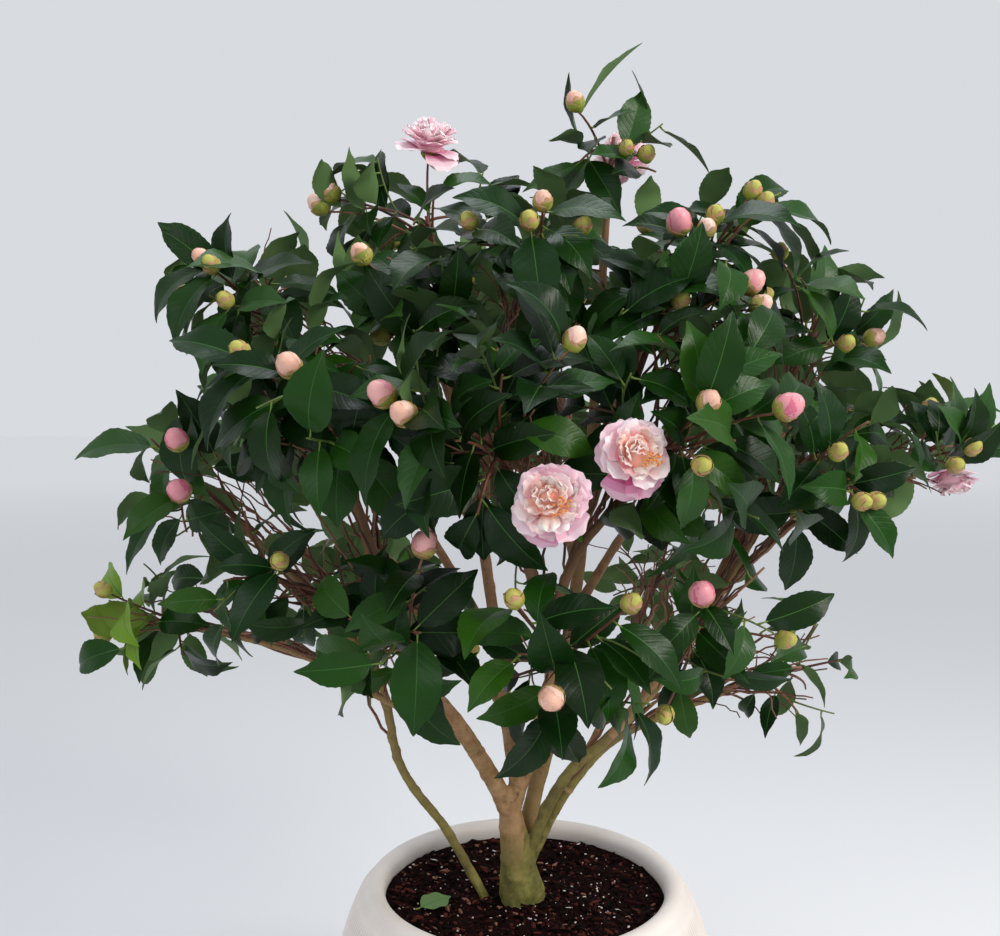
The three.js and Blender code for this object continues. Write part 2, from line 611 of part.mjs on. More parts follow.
// Leaf number n on a shoot, counted from its tip. It may turn round the shoot, and be a little shorter,
// to fit its mass's space and cross no limb, shoot or other leaf. Of the turns that fit it takes the one
// furthest from the other leaves. If none fits, there is no leaf.
function growLeaf(mass, shoot, n, limbs, middles) {
  const random = seeded(shoot.seed + 7919 * (n + 1));
  const share = 1 - 4 / shoot.reach - n * Math.min(LEAF_SPACING / shoot.reach, 0.8 / LEAVES_PER_SHOOT);
  const size = LEAF_LENGTH * (0.86 + 0.2 * random());
  const droop = 0.25 + 0.35 * random();
  const at = shoot.line.getPointAt(share);
  const tangent = shoot.line.getTangentAt(share);
  const outward = at.clone().sub(CROWN_CENTRE).divide(CROWN_REACH);
  if (outward.length() < BARE_SHARE) return;
  outward.normalize();
  const fromHeart = at.clone().sub(mass.centre).divideScalar(LEAF_LENGTH);
  let best = null;
  for (let again = 0; again < LEAF_TRIES; again++) {
    const turn = shoot.turn + n * GOLDEN_ANGLE + again * LEAF_TURN;
    const aim = leafAim(tangent, turn, outward, fromHeart, droop);
    const length = size * (1 - 0.012 * again);
    const leaf = leafCorners({ base: underFlat(shoot.rings, share, aim.along), ...aim, length });
    if (![leaf.tip, leaf.left, leaf.right, leaf.middle].every(mass.inside)) continue;
    const free = Math.min(...middles.map((middle) => middle.distanceTo(leaf.middle)));
    if (best && free < best.free) continue;
    const outline = [leaf.base, leaf.left, leaf.tip, leaf.right, leaf.base, leaf.tip];
    if (!clearOfLimbs(outline, 2, limbs, null) || crossesAny(leaf, mass, shoot.core)) continue;
    best = { ...leaf, free, tangent };
  }
  if (!best) return;
  middles.push(best.middle);
  mass.leaves.push(best);
}

// True if a leaf crosses another leaf, or is too near to wood, a bud or a blossom. Only its broad part
// counts beside the shoot that it stands on.
function crossesAny(leaf, { leaves, cores }, own) {
  if (leaves.some((other) => crosses(edgesOf(leaf), other) || crosses(edgesOf(other), leaf))) return true;
  return cores.some(({ points, radius }, i) => {
    const pieces = points.slice(1).map((point, j) => [points[j], point]);
    return (cores[i] !== own && crosses(pieces, leaf)) || pieces.some(([from, to]) =>
      nearest(from, to, leaf.left, leaf.right) < radius || nearest(from, to, leaf.middle, leaf.tip) < radius);
  });
}

function edgesOf({ base, left, right, tip, middle }) {
  const root = base.clone().lerp(middle, 0.12);
  return [[root, left], [left, tip], [tip, right], [right, root], [root, middle], [middle, tip]];
}

// True if one of some straight edges passes through one of a leaf's four upper faces.
function crosses(edges, { base, left, right, tip, middle }) {
  const faces = [[base, left, middle], [left, tip, middle], [tip, right, middle], [right, base, middle]];
  return edges.some(([from, to]) => {
    const way = to.clone().sub(from);
    const length = way.length();
    const ray = new THREE.Ray(from, way.normalize());
    return faces.some((face) => {
      const hit = ray.intersectTriangle(...face, false, vec());
      return hit !== null && hit.distanceTo(from) < length + 3;
    });
  });
}

// Puts the shrub together.
function meshFor(name, geometry, look) {
  const mesh = new THREE.Mesh(geometry, new THREE.MeshStandardMaterial({ metalness: 0, ...LOOKS[look] }));
  mesh.name = name;
  return mesh;
}

const shrub = new THREE.Group();
shrub.add(meshFor("pot", potGeometry(), "pot"));
shrub.add(meshFor("soil", soilGeometry(), "soil"));

const masses = MASSES.map(layOutMass);
const limbs = layOutLimbs(masses);
for (const limb of limbs.values()) {
  shrub.add(meshFor(limb.name, geometryOf(limbSolid(limb)), "bark"));
}

// The masses grow side by side, shoot by shoot and leaf by leaf, and are then joined.
const tips = masses.flatMap(({ blossoms = [] }) => blossoms.map(({ at }) => vec(...at)));
const middles = [...tips];
for (const mass of masses) {
  mass.inside = ownSpace(mass, masses);
  growStem(mass, limbs.get(mass.name));
}
for (let round = 0; round < Math.max(...MASSES.map(({ count }) => count)); round++) {
  masses.forEach((mass, index) => {
    if (round < mass.count) growShoot(mass, index, round, limbs, tips);
  });
}
masses.forEach(growBuds);
for (let n = 0; n < LEAVES_PER_SHOOT; n++) {
  for (const mass of masses) {
    for (const shoot of mass.shoots) growLeaf(mass, shoot, n, limbs, middles);
  }
}
for (const mass of masses) {
  const body = mass.leaves.reduce(withLeaf, joined(mass.solids));
  shrub.add(meshFor("foliage_" + mass.name, geometryOf(joined([body])), "foliage"));
}

export default shrub;
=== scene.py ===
import json
import math
from functools import lru_cache

import bmesh
import bpy
import numpy as np
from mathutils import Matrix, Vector, noise

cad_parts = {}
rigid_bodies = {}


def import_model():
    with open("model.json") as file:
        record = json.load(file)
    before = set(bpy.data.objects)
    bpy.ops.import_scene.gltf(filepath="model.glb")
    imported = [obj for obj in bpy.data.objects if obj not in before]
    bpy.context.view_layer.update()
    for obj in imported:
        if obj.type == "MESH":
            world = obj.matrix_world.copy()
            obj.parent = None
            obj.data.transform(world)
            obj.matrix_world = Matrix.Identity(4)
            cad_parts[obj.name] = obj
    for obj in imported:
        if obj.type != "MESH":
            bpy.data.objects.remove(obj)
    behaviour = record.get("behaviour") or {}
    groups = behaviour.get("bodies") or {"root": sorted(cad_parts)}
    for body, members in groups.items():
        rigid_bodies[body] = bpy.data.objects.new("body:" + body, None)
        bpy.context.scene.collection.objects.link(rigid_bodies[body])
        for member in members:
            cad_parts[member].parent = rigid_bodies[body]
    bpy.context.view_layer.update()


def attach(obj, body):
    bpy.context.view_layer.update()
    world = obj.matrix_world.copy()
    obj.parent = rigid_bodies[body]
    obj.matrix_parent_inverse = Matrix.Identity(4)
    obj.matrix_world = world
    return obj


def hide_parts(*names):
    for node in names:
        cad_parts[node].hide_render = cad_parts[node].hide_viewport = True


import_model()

# Camera, light and floor
# The plant is seen from just above the middle of its crown, looking three degrees down. Daylight
# comes softly from the right and from above. The floor is plain and pale.
CAMERA_PLACE = (-0.0296, -1.2458, 0.9206)
CAMERA_PITCH = math.radians(87)
CAMERA_LENS = 37.8
CAMERA_SENSOR = 36
CAMERA_FAR = 200
FLOOR_HALF = 40.0
FLOOR_COLOUR, FAR_FLOOR_COLOUR = "dfe0e1", "fbfbfb"
FLOOR_FADE = (1.5, 14.0)  # metres from the plant: the floor pales between these
SKY_COLOUR = "d8dbe0"
IOR = 1.45  # clay, bark, leaf wax and petals are all close to this
LIGHTS_AIM = (0, 0, 0.8)
SOFT_LIGHTS = (
    # name, place, size, watts, colour
    ("warm_light", (1.7, -1.3, 2.0), 0.9, 41, "fffaf2"),
    ("front_light", (-1.3, -2.4, 1.9), 1.6, 16, "f6f8ff"),
    ("top_light", (0.1, 0.2, 2.9), 1.2, 20, "f4f7ff"),
)


def linear(colour):
    """An sRGB hex colour as linear red, green and blue, with a full alpha."""
    shares = [int(colour[i:i + 2], 16) / 255 for i in (0, 2, 4)]
    return [s / 12.92 if s <= 0.04045 else ((s + 0.055) / 1.055) ** 2.4 for s in shares] + [1]


def new_finish(name, colour, roughness, **sockets):
    """A material with one plain colour and one roughness, for its pattern to be added to."""
    made = bpy.data.materials.new(name)
    made.use_nodes = True
    made.diffuse_color = linear(colour)
    shader = made.node_tree.nodes["Principled BSDF"].inputs
    plain = {"Base_Color": linear(colour), "Roughness": roughness, "IOR": IOR}
    for socket, value in {**plain, **sockets}.items():
        shader[socket.replace("_", " ")].default_value = value
    return made


def add_node(material, kind, inputs, **settings):
    """Adds a shader node. inputs says what each socket holds: a value, or the output linked to it."""
    tree = material.node_tree
    made = tree.nodes.new("ShaderNode" + kind)
    for setting, value in settings.items():
        setattr(made, setting, value)
    for socket, value in inputs.items():
        if isinstance(value, bpy.types.NodeSocket):
            tree.links.new(value, made.inputs[socket])
        else:
            made.inputs[socket].default_value = value
    return made


def shade(material, **outputs):
    """Links outputs to the material's shader, such as Normal or Roughness."""
    shader = material.node_tree.nodes["Principled BSDF"].inputs
    for socket, output in outputs.items():
        material.node_tree.links.new(output, shader[socket.replace("_", " ")])


camera = bpy.data.objects.new("camera", bpy.data.cameras.new("camera"))
camera.location = CAMERA_PLACE
camera.rotation_euler = (CAMERA_PITCH, 0, 0)
camera.data.lens = CAMERA_LENS
camera.data.sensor_width = CAMERA_SENSOR
camera.data.clip_end = CAMERA_FAR
bpy.context.scene.collection.objects.link(camera)
bpy.context.scene.camera = camera

sky = bpy.data.worlds.new("sky")
sky.use_nodes = True
sky.node_tree.nodes["Background"].inputs["Color"].default_value = linear(SKY_COLOUR)
bpy.context.scene.world = sky
bpy.context.scene.view_settings.view_transform = "Standard"  # tones as they are, without a film curve

for name, place, size, watts, colour in SOFT_LIGHTS:
    lamp = bpy.data.lights.new(name, "AREA")
    lamp.shape = "DISK"
    lamp.size = size
    lamp.energy = watts
    lamp.color = linear(colour)[:3]
    light = bpy.data.objects.new(name, lamp)
    light.location = place
    light.rotation_euler = (Vector(LIGHTS_AIM) - Vector(place)).to_track_quat("-Z", "Y").to_euler()
    bpy.context.scene.collection.objects.link(light)

floor_corners = [(x * FLOOR_HALF, y * FLOOR_HALF, 0) for x, y in ((-1, -1), (1, -1), (1, 1), (-1, 1))]
floor_mesh = bpy.data.meshes.new("floor")
floor_mesh.from_pydata(floor_corners, [], [(0, 1, 2, 3)])
floor = bpy.data.objects.new("floor", floor_mesh)
# Matt paint, paler far off, so that the floor's far edge doesn't show.
floor_paint = new_finish("matt_floor_paint", FLOOR_COLOUR, 0.9, Specular_IOR_Level=0.1)
floor_place = add_node(floor_paint, "TexCoord", {})
floor_reach = add_node(floor_paint, "VectorMath", {0: floor_place.outputs["Object"]},
                       operation="LENGTH")
floor_share = add_node(floor_paint, "MapRange", {
    "Value": floor_reach.outputs["Value"], "From Min": FLOOR_FADE[0], "From Max": FLOOR_FADE[1]})
floor_tone = add_node(floor_paint, "Mix", {
    "Factor": floor_share.outputs["Result"], "A": linear(FLOOR_COLOUR), "B": linear(FAR_FLOOR_COLOUR)},
    data_type="RGBA")
shade(floor_paint, Base_Color=floor_tone.outputs["Result"])
floor_mesh.materials.append(floor_paint)
bpy.context.scene.collection.objects.link(floor)

# Pot
# A round-bellied plant pot of cream fired clay with a thick smooth rolled lip. It was thrown, then
# combed downwards from shoulder to foot while soft, and stands on its flat foot. From here on sizes
# are in millimetres, where nothing else is said.
POT_HEIGHT = 360
POT_BELLY_RADIUS = 235
POT_BELLY_LEVEL = 190
POT_BELLY_REACH = 293
POT_BELLY_RINGS = 26
POT_WALL = 14
POT_FLOOR = 20
POT_INNER_LEVELS = (244, 132, POT_FLOOR)
POT_FOOT_RADIUS = 172
POT_FOOT_EDGE = ((-4, 0), (3, 1), (10, 5))  # past the foot's radius, and level
POT_FOOT_ROUNDING = 14
LIP_INNER_RADIUS = 168
LIP_OUTER_RADIUS = 192
LIP_HALF_DEPTH = 12
LIP_UNDERCUT = 8
LIP_FROM, LIP_RINGS = 0.25, 13  # where the roll starts, in radians, and its rings
LIP_SHOULDER = ((200.2, 343.4), (198.2, 345.4), (196.0, 347.2), (193.9, 349.0))  # radius and level
COMB_LINES = 200
COMB_DEPTH = 2.5
COMB_FROM, COMB_TO = 24, 342.5
COMB_FADES = (14, 4)  # over what height the grooves fade out at the foot and at the shoulder
COMB_WAVERS = ((0.9, 41, 3), (0.6, 17, -11))  # how far, over what height, and how often round the pot
COMB_LEAN = 60
COMB_SHARPNESS = 1.6
POT_AROUND = 6 * COMB_LINES
POT_COLOUR = "e7e0da"
POT_WORN_COLOUR = "dccfc5"
# painted shade: the clay's colour deep in a comb line
POT_GROOVE_SHADE_COLOUR = "bfafa3"


class Gathered:
    """Closed shapes, in millimetres, gathered to be joined into one piece."""

    def __init__(self):
        self.points, self.corners, self.sizes, self.finishes, self.marks, self.places = [], [], [], [], [], []
        self.total = 0

    def add(self, points, faces, finish=0, marks=None, places=None):
        """faces are (corners, sizes). marks say which rim a point is on, and places where it is on a leaf."""
        corners, sizes = faces
        self.points.append(points)
        self.corners.append(corners + self.total)
        self.sizes.append(sizes)
        self.finishes.append(np.broadcast_to(finish, sizes.shape))
        self.marks.append(np.zeros(len(points), int) if marks is None else marks)
        self.places.append(np.zeros((len(points), 2)) if places is None else places)
        self.total += len(points)

    def joined(self, name, materials, smooth=True):
        """Joins the shapes into one mesh object."""
        points, corners, sizes = (np.concatenate(rows) for rows in (self.points, self.corners, self.sizes))
        marks, places = np.concatenate(self.marks), np.concatenate(self.places)
        mesh = bpy.data.meshes.new(name)
        mesh.vertices.add(len(points))
        mesh.vertices.foreach_set("co", (points / 1000).ravel())
        mesh.loops.add(len(corners))
        mesh.loops.foreach_set("vertex_index", corners)
        mesh.polygons.add(len(sizes))
        mesh.polygons.foreach_set("loop_start", np.cumsum(sizes) - sizes)
        mesh.polygons.foreach_set("material_index", np.concatenate(self.finishes))
        mesh.polygons.foreach_set("use_smooth", (sizes <= 4) & smooth)
        mesh.update(calc_edges=True)
        if marks.any():
            ends = np.zeros(2 * len(mesh.edges), int)
            mesh.edges.foreach_get("vertices", ends)
            mesh.edges.foreach_set("use_edge_sharp", (marks[ends[::2]] & marks[ends[1::2]]) > 0)
        if places.any():
            mesh.uv_layers.new(name="blade").data.foreach_set("uv", places[corners].ravel())
        for material in materials:
            mesh.materials.append(material)
        piece = bpy.data.objects.new(name, mesh)
        bpy.context.scene.collection.objects.link(piece)
        return piece


@lru_cache(maxsize=None)
def skin_faces(rings, around):
    """The faces of a closed skin over rings of points, with a flat end at its first and last ring."""
    index = np.arange(rings * around).reshape(rings, around)
    ahead = np.roll(index, -1, axis=1)
    quads = np.stack([index[:-1], ahead[:-1], ahead[1:], index[1:]], axis=-1)
    corners = np.concatenate([quads.ravel(), index[0, ::-1], index[-1]])
    return corners, np.array([4] * ((rings - 1) * around) + [around, around])


def add_skin(shapes, rings, finish=0):
    """Adds a closed skin over rings of points."""
    shapes.add(rings.reshape(-1, 3), skin_faces(*rings.shape[:2]), finish)


def turned(outline, around, relief=None):
    """Rings of points for an outline of (radius, level) turned round the pot's axis."""
    angles = np.arange(around) * 2 * math.pi / around
    rings = []
    for radius, level in outline:
        out = radius + (relief(angles, level) if relief else 0)
        rings.append(np.stack([out * np.cos(angles), out * np.sin(angles), angles * 0 + level], axis=1))
    return np.array(rings)


def soft_step(value, low, high):
    """0 below low and 1 above high, with a smooth rise between them."""
    share = np.clip((value - low) / (high - low), 0, 1)
    return share * share * (3 - 2 * share)


def belly_radius(level):
    """The outer radius of the pot's wall at a level."""
    return POT_BELLY_RADIUS * np.sqrt(1 - ((level - POT_BELLY_LEVEL) / POT_BELLY_REACH) ** 2)


def wall_outline(gap, neck):
    """The inside of the pot's wall from its neck down to its floor, moved inwards by a gap."""
    outline = [(LIP_INNER_RADIUS - gap, neck)]
    for level in POT_INNER_LEVELS:
        outline.append((belly_radius(level) - POT_WALL - gap, level + gap * (level == POT_FLOOR)))
    return outline


def comb_relief(angles, level):
    """The comb's grooves: they waver, lean a little and are cut more deeply in some places."""
    strength = soft_step(level, COMB_FROM, COMB_FROM + COMB_FADES[0])
    strength *= 1 - soft_step(level, COMB_TO - COMB_FADES[1], COMB_TO)
    waver = sum(far * np.sin(level / high + often * angles) for far, high, often in COMB_WAVERS)
    line = 0.5 - 0.5 * np.cos(COMB_LINES * angles + (waver + level / COMB_LEAN))
    depth = 0.8 + 0.2 * np.sin(23 * angles + level / 50) * np.sin(9 * angles - level / 33)
    return -COMB_DEPTH * strength * depth * line ** COMB_SHARPNESS


def grain(material, size, detail, strength, depth, height_too=None):
    """Gives a finish a fine grain of one size that stands out by a depth, and returns its noise.
    height_too is an output with more relief to stand out with it."""
    place = add_node(material, "TexCoord", {})
    pores = add_node(material, "TexNoise", {
        "Vector": place.outputs["Object"], "Scale": 1000 / size, "Detail": detail}).outputs["Fac"]
    height = pores
    if height_too:
        height = add_node(material, "Math", {0: pores, 1: height_too}, operation="ADD").outputs[0]
    bump = add_node(material, "Bump", {
        "Height": height, "Strength": strength, "Distance": depth / 1000})
    shade(material, Normal=bump.outputs["Normal"])
    return pores


def mark(mesh, name, shares):
    """Stores a share from 0 to 1 at each point of a mesh, for its finish to read."""
    mesh.attributes.new(name, "FLOAT", "POINT").data.foreach_set("value", shares)


outline = [(POT_FOOT_RADIUS + past, level) for past, level in POT_FOOT_EDGE]
outline += [(belly_radius(level), level)
            for level in np.linspace(POT_FOOT_ROUNDING, COMB_TO, POT_BELLY_RINGS)]
outline += LIP_SHOULDER
lip_middle, lip_half = (LIP_INNER_RADIUS + LIP_OUTER_RADIUS) / 2, (LIP_OUTER_RADIUS - LIP_INNER_RADIUS) / 2
for turn in np.linspace(LIP_FROM, math.pi, LIP_RINGS):
    level = POT_HEIGHT - LIP_HALF_DEPTH + LIP_HALF_DEPTH * math.sin(turn)
    outline.append((lip_middle + lip_half * math.cos(turn), level))
inner_outline = wall_outline(0, POT_HEIGHT - LIP_HALF_DEPTH - LIP_UNDERCUT)
pot_shapes = Gathered()
add_skin(pot_shapes, np.concatenate([
    turned(outline, POT_AROUND, comb_relief), turned(inner_outline, POT_AROUND)]))

# Fired clay without a glaze is satin and slightly chalky, warmer where it was fired harder. Painted shade
# darkens the comb's grooves. Its grit is too fine to show and is drawn at 1.6 mm.
fired_clay = new_finish("cream_fired_clay", POT_COLOUR, 0.56)
clay_place = add_node(fired_clay, "TexCoord", {})
clay_cloud = add_node(fired_clay, "TexNoise", {
    "Vector": clay_place.outputs["Object"], "Scale": 1000 / 90, "Detail": 5.0, "Roughness": 0.6})
clay_warmth = add_node(fired_clay, "MapRange", {
    "Value": clay_cloud.outputs["Fac"], "From Min": 0.4, "From Max": 0.72, "To Max": 0.75})
# painted shade, stronger the deeper a point lies in a comb line
clay_groove_shade = add_node(fired_clay, "Attribute", {}, attribute_name="painted_groove_shade")
clay_colour = linear(POT_COLOUR)
for share, colour in ((clay_warmth.outputs["Result"], POT_WORN_COLOUR),
                      (clay_groove_shade.outputs["Fac"], POT_GROOVE_SHADE_COLOUR)):
    clay_mix = add_node(fired_clay, "Mix", {"Factor": share, "A": clay_colour, "B": linear(colour)},
                        data_type="RGBA")
    clay_colour = clay_mix.outputs["Result"]
clay_sheen = add_node(fired_clay, "MapRange", {
    "Value": clay_cloud.outputs["Fac"], "To Min": 0.48, "To Max": 0.66})
grain(fired_clay, 1.6, 3.0, 0.25, 0.4)
shade(fired_clay, Base_Color=clay_colour, Roughness=clay_sheen.outputs["Result"])

pot = pot_shapes.joined("pot_body", [fired_clay])
# Painted shade: each point's share of the groove colour grows with how deep it lies in a comb line.
x, y, level = np.concatenate(pot_shapes.points).T
depth = belly_radius(level) - np.hypot(x, y)
combed = (depth < 1.5 * COMB_DEPTH) & (level > COMB_FROM) & (level < COMB_TO)
mark(pot.data, "painted_groove_shade", np.where(combed, np.clip(depth / COMB_DEPTH, 0, 1), 0))
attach(pot, "root")
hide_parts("pot")

# Soil
# Damp dark potting mix of bark crumbs and fibre with white perlite in it. It fills the pot to a
# little below the lip, is flat in the middle and rises to the wall.
SOIL_LEVEL = 334
SOIL_RISE = 5
SOIL_FLAT_RADIUS = 75
SOIL_CLEARANCE = 0.9
SOIL_AROUND = 240
SOIL_RINGS = (0.4, 2.6, 3)  # from the wall to the first ring, from ring to ring, and the last one's radius
CLODS = ((19, 4.2), (7, 3.0), (3, 1.3))  # size and height of each kind of lump in the surface
CRUMBS = 2300
CRUMB_SIZES = (0.9, 3.6)
CRUMB_LIFT = 0.25  # how far a crumb stands out of the surface, as a share of its size
PERLITE = 260
PERLITE_SIZES = (0.6, 1.7)
PERLITE_LIFT = 0.45
LUMP_LENGTHS = (0.8, 2.6)  # the least share of its size, and how much more a long chip has
LUMP_WIDTH, LUMP_HEIGHT = 0.8, 0.65
LUMP_ROUGHNESS = (0.65, 1.3)
WALL_MARGIN = 7
ROOT_FLARE = (-4, 0, 27)  # place and radius of the trunk's foot
SOIL_COLOURS = ("140605", "2a110e", "060202", "4a251d", "7c5847")
SOIL_SHARES = (0.3, 0.28, 0.22, 0.15, 0.05)
PERLITE_COLOUR = "cfc4bb"


def soil_level(x, y):
    """The height of the soil's surface."""
    brim = SOIL_RISE * soft_step(math.hypot(x, y), SOIL_FLAT_RADIUS, LIP_INNER_RADIUS)
    lumps = sum(height * noise.noise(Vector((x / size, y / size, size))) for size, height in CLODS)
    return SOIL_LEVEL + brim + lumps


soil_outline = wall_outline(SOIL_CLEARANCE, SOIL_LEVEL + SOIL_RISE)[::-1]
first_gap, ring_step, last_radius = SOIL_RINGS
radii = np.arange(LIP_INNER_RADIUS - SOIL_CLEARANCE - first_gap, last_radius, -ring_step)
soil_rings = turned(soil_outline + [(radius, SOIL_LEVEL) for radius in radii], SOIL_AROUND)
for ring in soil_rings[len(soil_outline):]:
    for point in ring:
        point[2] = soil_level(point[0], point[1])
soil_shapes = Gathered()
add_skin(soil_shapes, soil_rings)


def lump_shape():
    """A small rough ball as points and faces."""
    ball = bmesh.new()
    bmesh.ops.create_icosphere(ball, subdivisions=1, radius=1)
    points = np.array([point.co for point in ball.verts])
    corners = np.array([point.index for face in ball.faces for point in face.verts])
    ball.free()
    return points, (corners, np.full(len(corners) // 3, 3))


def strew(shapes, count, sizes, lift, shares, seed):
    """Strews rough lumps over the soil, none where the trunk stands. Each finish has its share of them."""
    random = np.random.RandomState(seed)
    points, faces = lump_shape()
    for _ in range(count):
        reach = (LIP_INNER_RADIUS - WALL_MARGIN) * math.sqrt(random.rand())
        turn = random.rand() * 2 * math.pi
        x, y = reach * math.cos(turn), reach * math.sin(turn)
        size = random.uniform(*sizes)
        rough = points * random.uniform(*LUMP_ROUGHNESS, (len(points), 1))
        length = LUMP_LENGTHS[0] + LUMP_LENGTHS[1] * random.rand() ** 3
        rough = rough * (length, LUMP_WIDTH, LUMP_HEIGHT) * size
        spin = random.rand() * math.pi
        rough[:, :2] = rough[:, :2] @ ((math.cos(spin), math.sin(spin)), (-math.sin(spin), math.cos(spin)))
        if math.hypot(x - ROOT_FLARE[0], y - ROOT_FLARE[1]) > ROOT_FLARE[2] + size:
            kind = random.choice(len(shares), p=shares)
            shapes.add(rough + (x, y, soil_level(x, y) + lift * size), faces, kind)


# Wet crumbs of bark are nearly black and dull, with a slight shine where water stands on them.
soil_finishes = []
for number, colour in enumerate(SOIL_COLOURS):
    mix = new_finish(f"damp_potting_mix_{number + 1}", colour, 0.85, Specular_IOR_Level=0.06)
    fibres = grain(mix, 3, 4.0, 0.6, 1.2)
    mix_damp = add_node(mix, "MapRange", {
        "Value": fibres, "From Min": 0.35, "From Max": 0.65, "To Min": 0.6, "To Max": 0.95})
    shade(mix, Roughness=mix_damp.outputs["Result"])
    soil_finishes.append(mix)
strew(soil_shapes, CRUMBS, CRUMB_SIZES, CRUMB_LIFT, SOIL_SHARES, 11)
soil = soil_shapes.joined("potting_mix", soil_finishes, smooth=False)
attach(soil, "root")
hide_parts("soil")

# Perlite is puffed volcanic glass: white, matt and pitted.
puffed_perlite = new_finish("puffed_perlite", PERLITE_COLOUR, 0.9)
perlite_shapes = Gathered()
strew(perlite_shapes, PERLITE, PERLITE_SIZES, PERLITE_LIFT, (1,), 23)
perlite = perlite_shapes.joined("perlite", [puffed_perlite], smooth=False)
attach(perlite, "root")

# Trunk and boughs
# A short swollen camellia trunk that forks low down, and one tapering bough for each mass of
# foliage. The bark is thin and smooth: olive green at the foot and on young stems, pinkish tan above.
TRUNK_WAY = ((-4, 0, 310), (-5, 0, 345), (-9, -2, 380), (-14, -4, 418), (-21, -6, 466))
TRUNK_RADII = (30, 26, 19, 15.5, 10)
# to, from, share of the parent's length, radii from root to tip, points that it passes
BOUGHS = (
    ("left_front", "trunk", 0.86, (11, 5), ((-48, -25, 505), (-81, -60, 569), (-125, -95, 638))),
    ("centre_front", "trunk", 0.86, (11, 5), ((-2, -5, 489), (16, -12, 543), (30, -50, 610))),
    ("top_left", "centre_front", 0.06, (8.5, 4.2), ((-17, 15, 519), (-25, 34, 578), (-50, 26, 760))),
    ("top_spire", "trunk", 0.26, (11, 4.2), ((7, 22, 425), (15, 34, 457), (39, 55, 538), (75, 60, 780))),
    ("right_mid", "trunk", 0.3, (7.5, 4.4), ((24, -8, 440), (52, -22, 495), (98, -42, 545), (170, -70, 640))),
    ("low_right", "trunk", 0.24, (6, 4), ((32, 12, 424), (62, 16, 471), (110, 18, 521))),
    ("left_mid", "soil", 0, (5.8, 4), ((-42, 5, 320), (-94, -10, 421), (-146, -22, 500), (-176, -32, 620))),
    ("left_low", "left_front", 0.22, (4.2, 3.8), ((-182, -62, 604), (-262, -44, 642))),
    ("low_left_front", "left_front", 0.4, (5, 4), ()),
    ("left_low_front", "left_front", 0.52, (5, 4), ()),
    ("low_front", "centre_front", 0.42, (5, 4), ()),
    ("right_front", "centre_front", 0.55, (6, 4), ()),
    ("top_mid", "top_left", 0.5, (6, 4), ()),
    ("upper_front_left", "top_left", 0.4, (5, 4), ()),
    ("upper_front_right", "right_front", 0.3, (5, 4), ()),
    ("upper_left", "top_left", 0.5, (6, 4), ()),
    ("top_right", "top_spire", 0.62, (6, 4), ()),
    ("back_top", "top_spire", 0.52, (6.5, 4.2), ()),
    ("back_left", "top_left", 0.26, (6.5, 4.2), ()),
    ("back_right", "top_spire", 0.4, (6.5, 4.2), ()),
    ("back_mid", "top_spire", 0.46, (6, 4), ()),
    ("back_low_left", "top_left", 0.14, (5.5, 4), ()),
    ("back_low_right", "low_right", 0.34, (5, 4), ()),
    ("low_right_front", "right_mid", 0.42, (4.8, 4), ()),
    ("upper_right", "right_mid", 0.66, (6, 4), ()),
    ("right_tip", "right_mid", 0.84, (4.8, 3.8), ()),
)
BOUGH_ENTRY = 0.62
BOUGH_SWEEP = 0.16
CROWN_CENTRE = np.array((0, 0, 860))
CROWN_REACH = np.array((540, 440, 480))
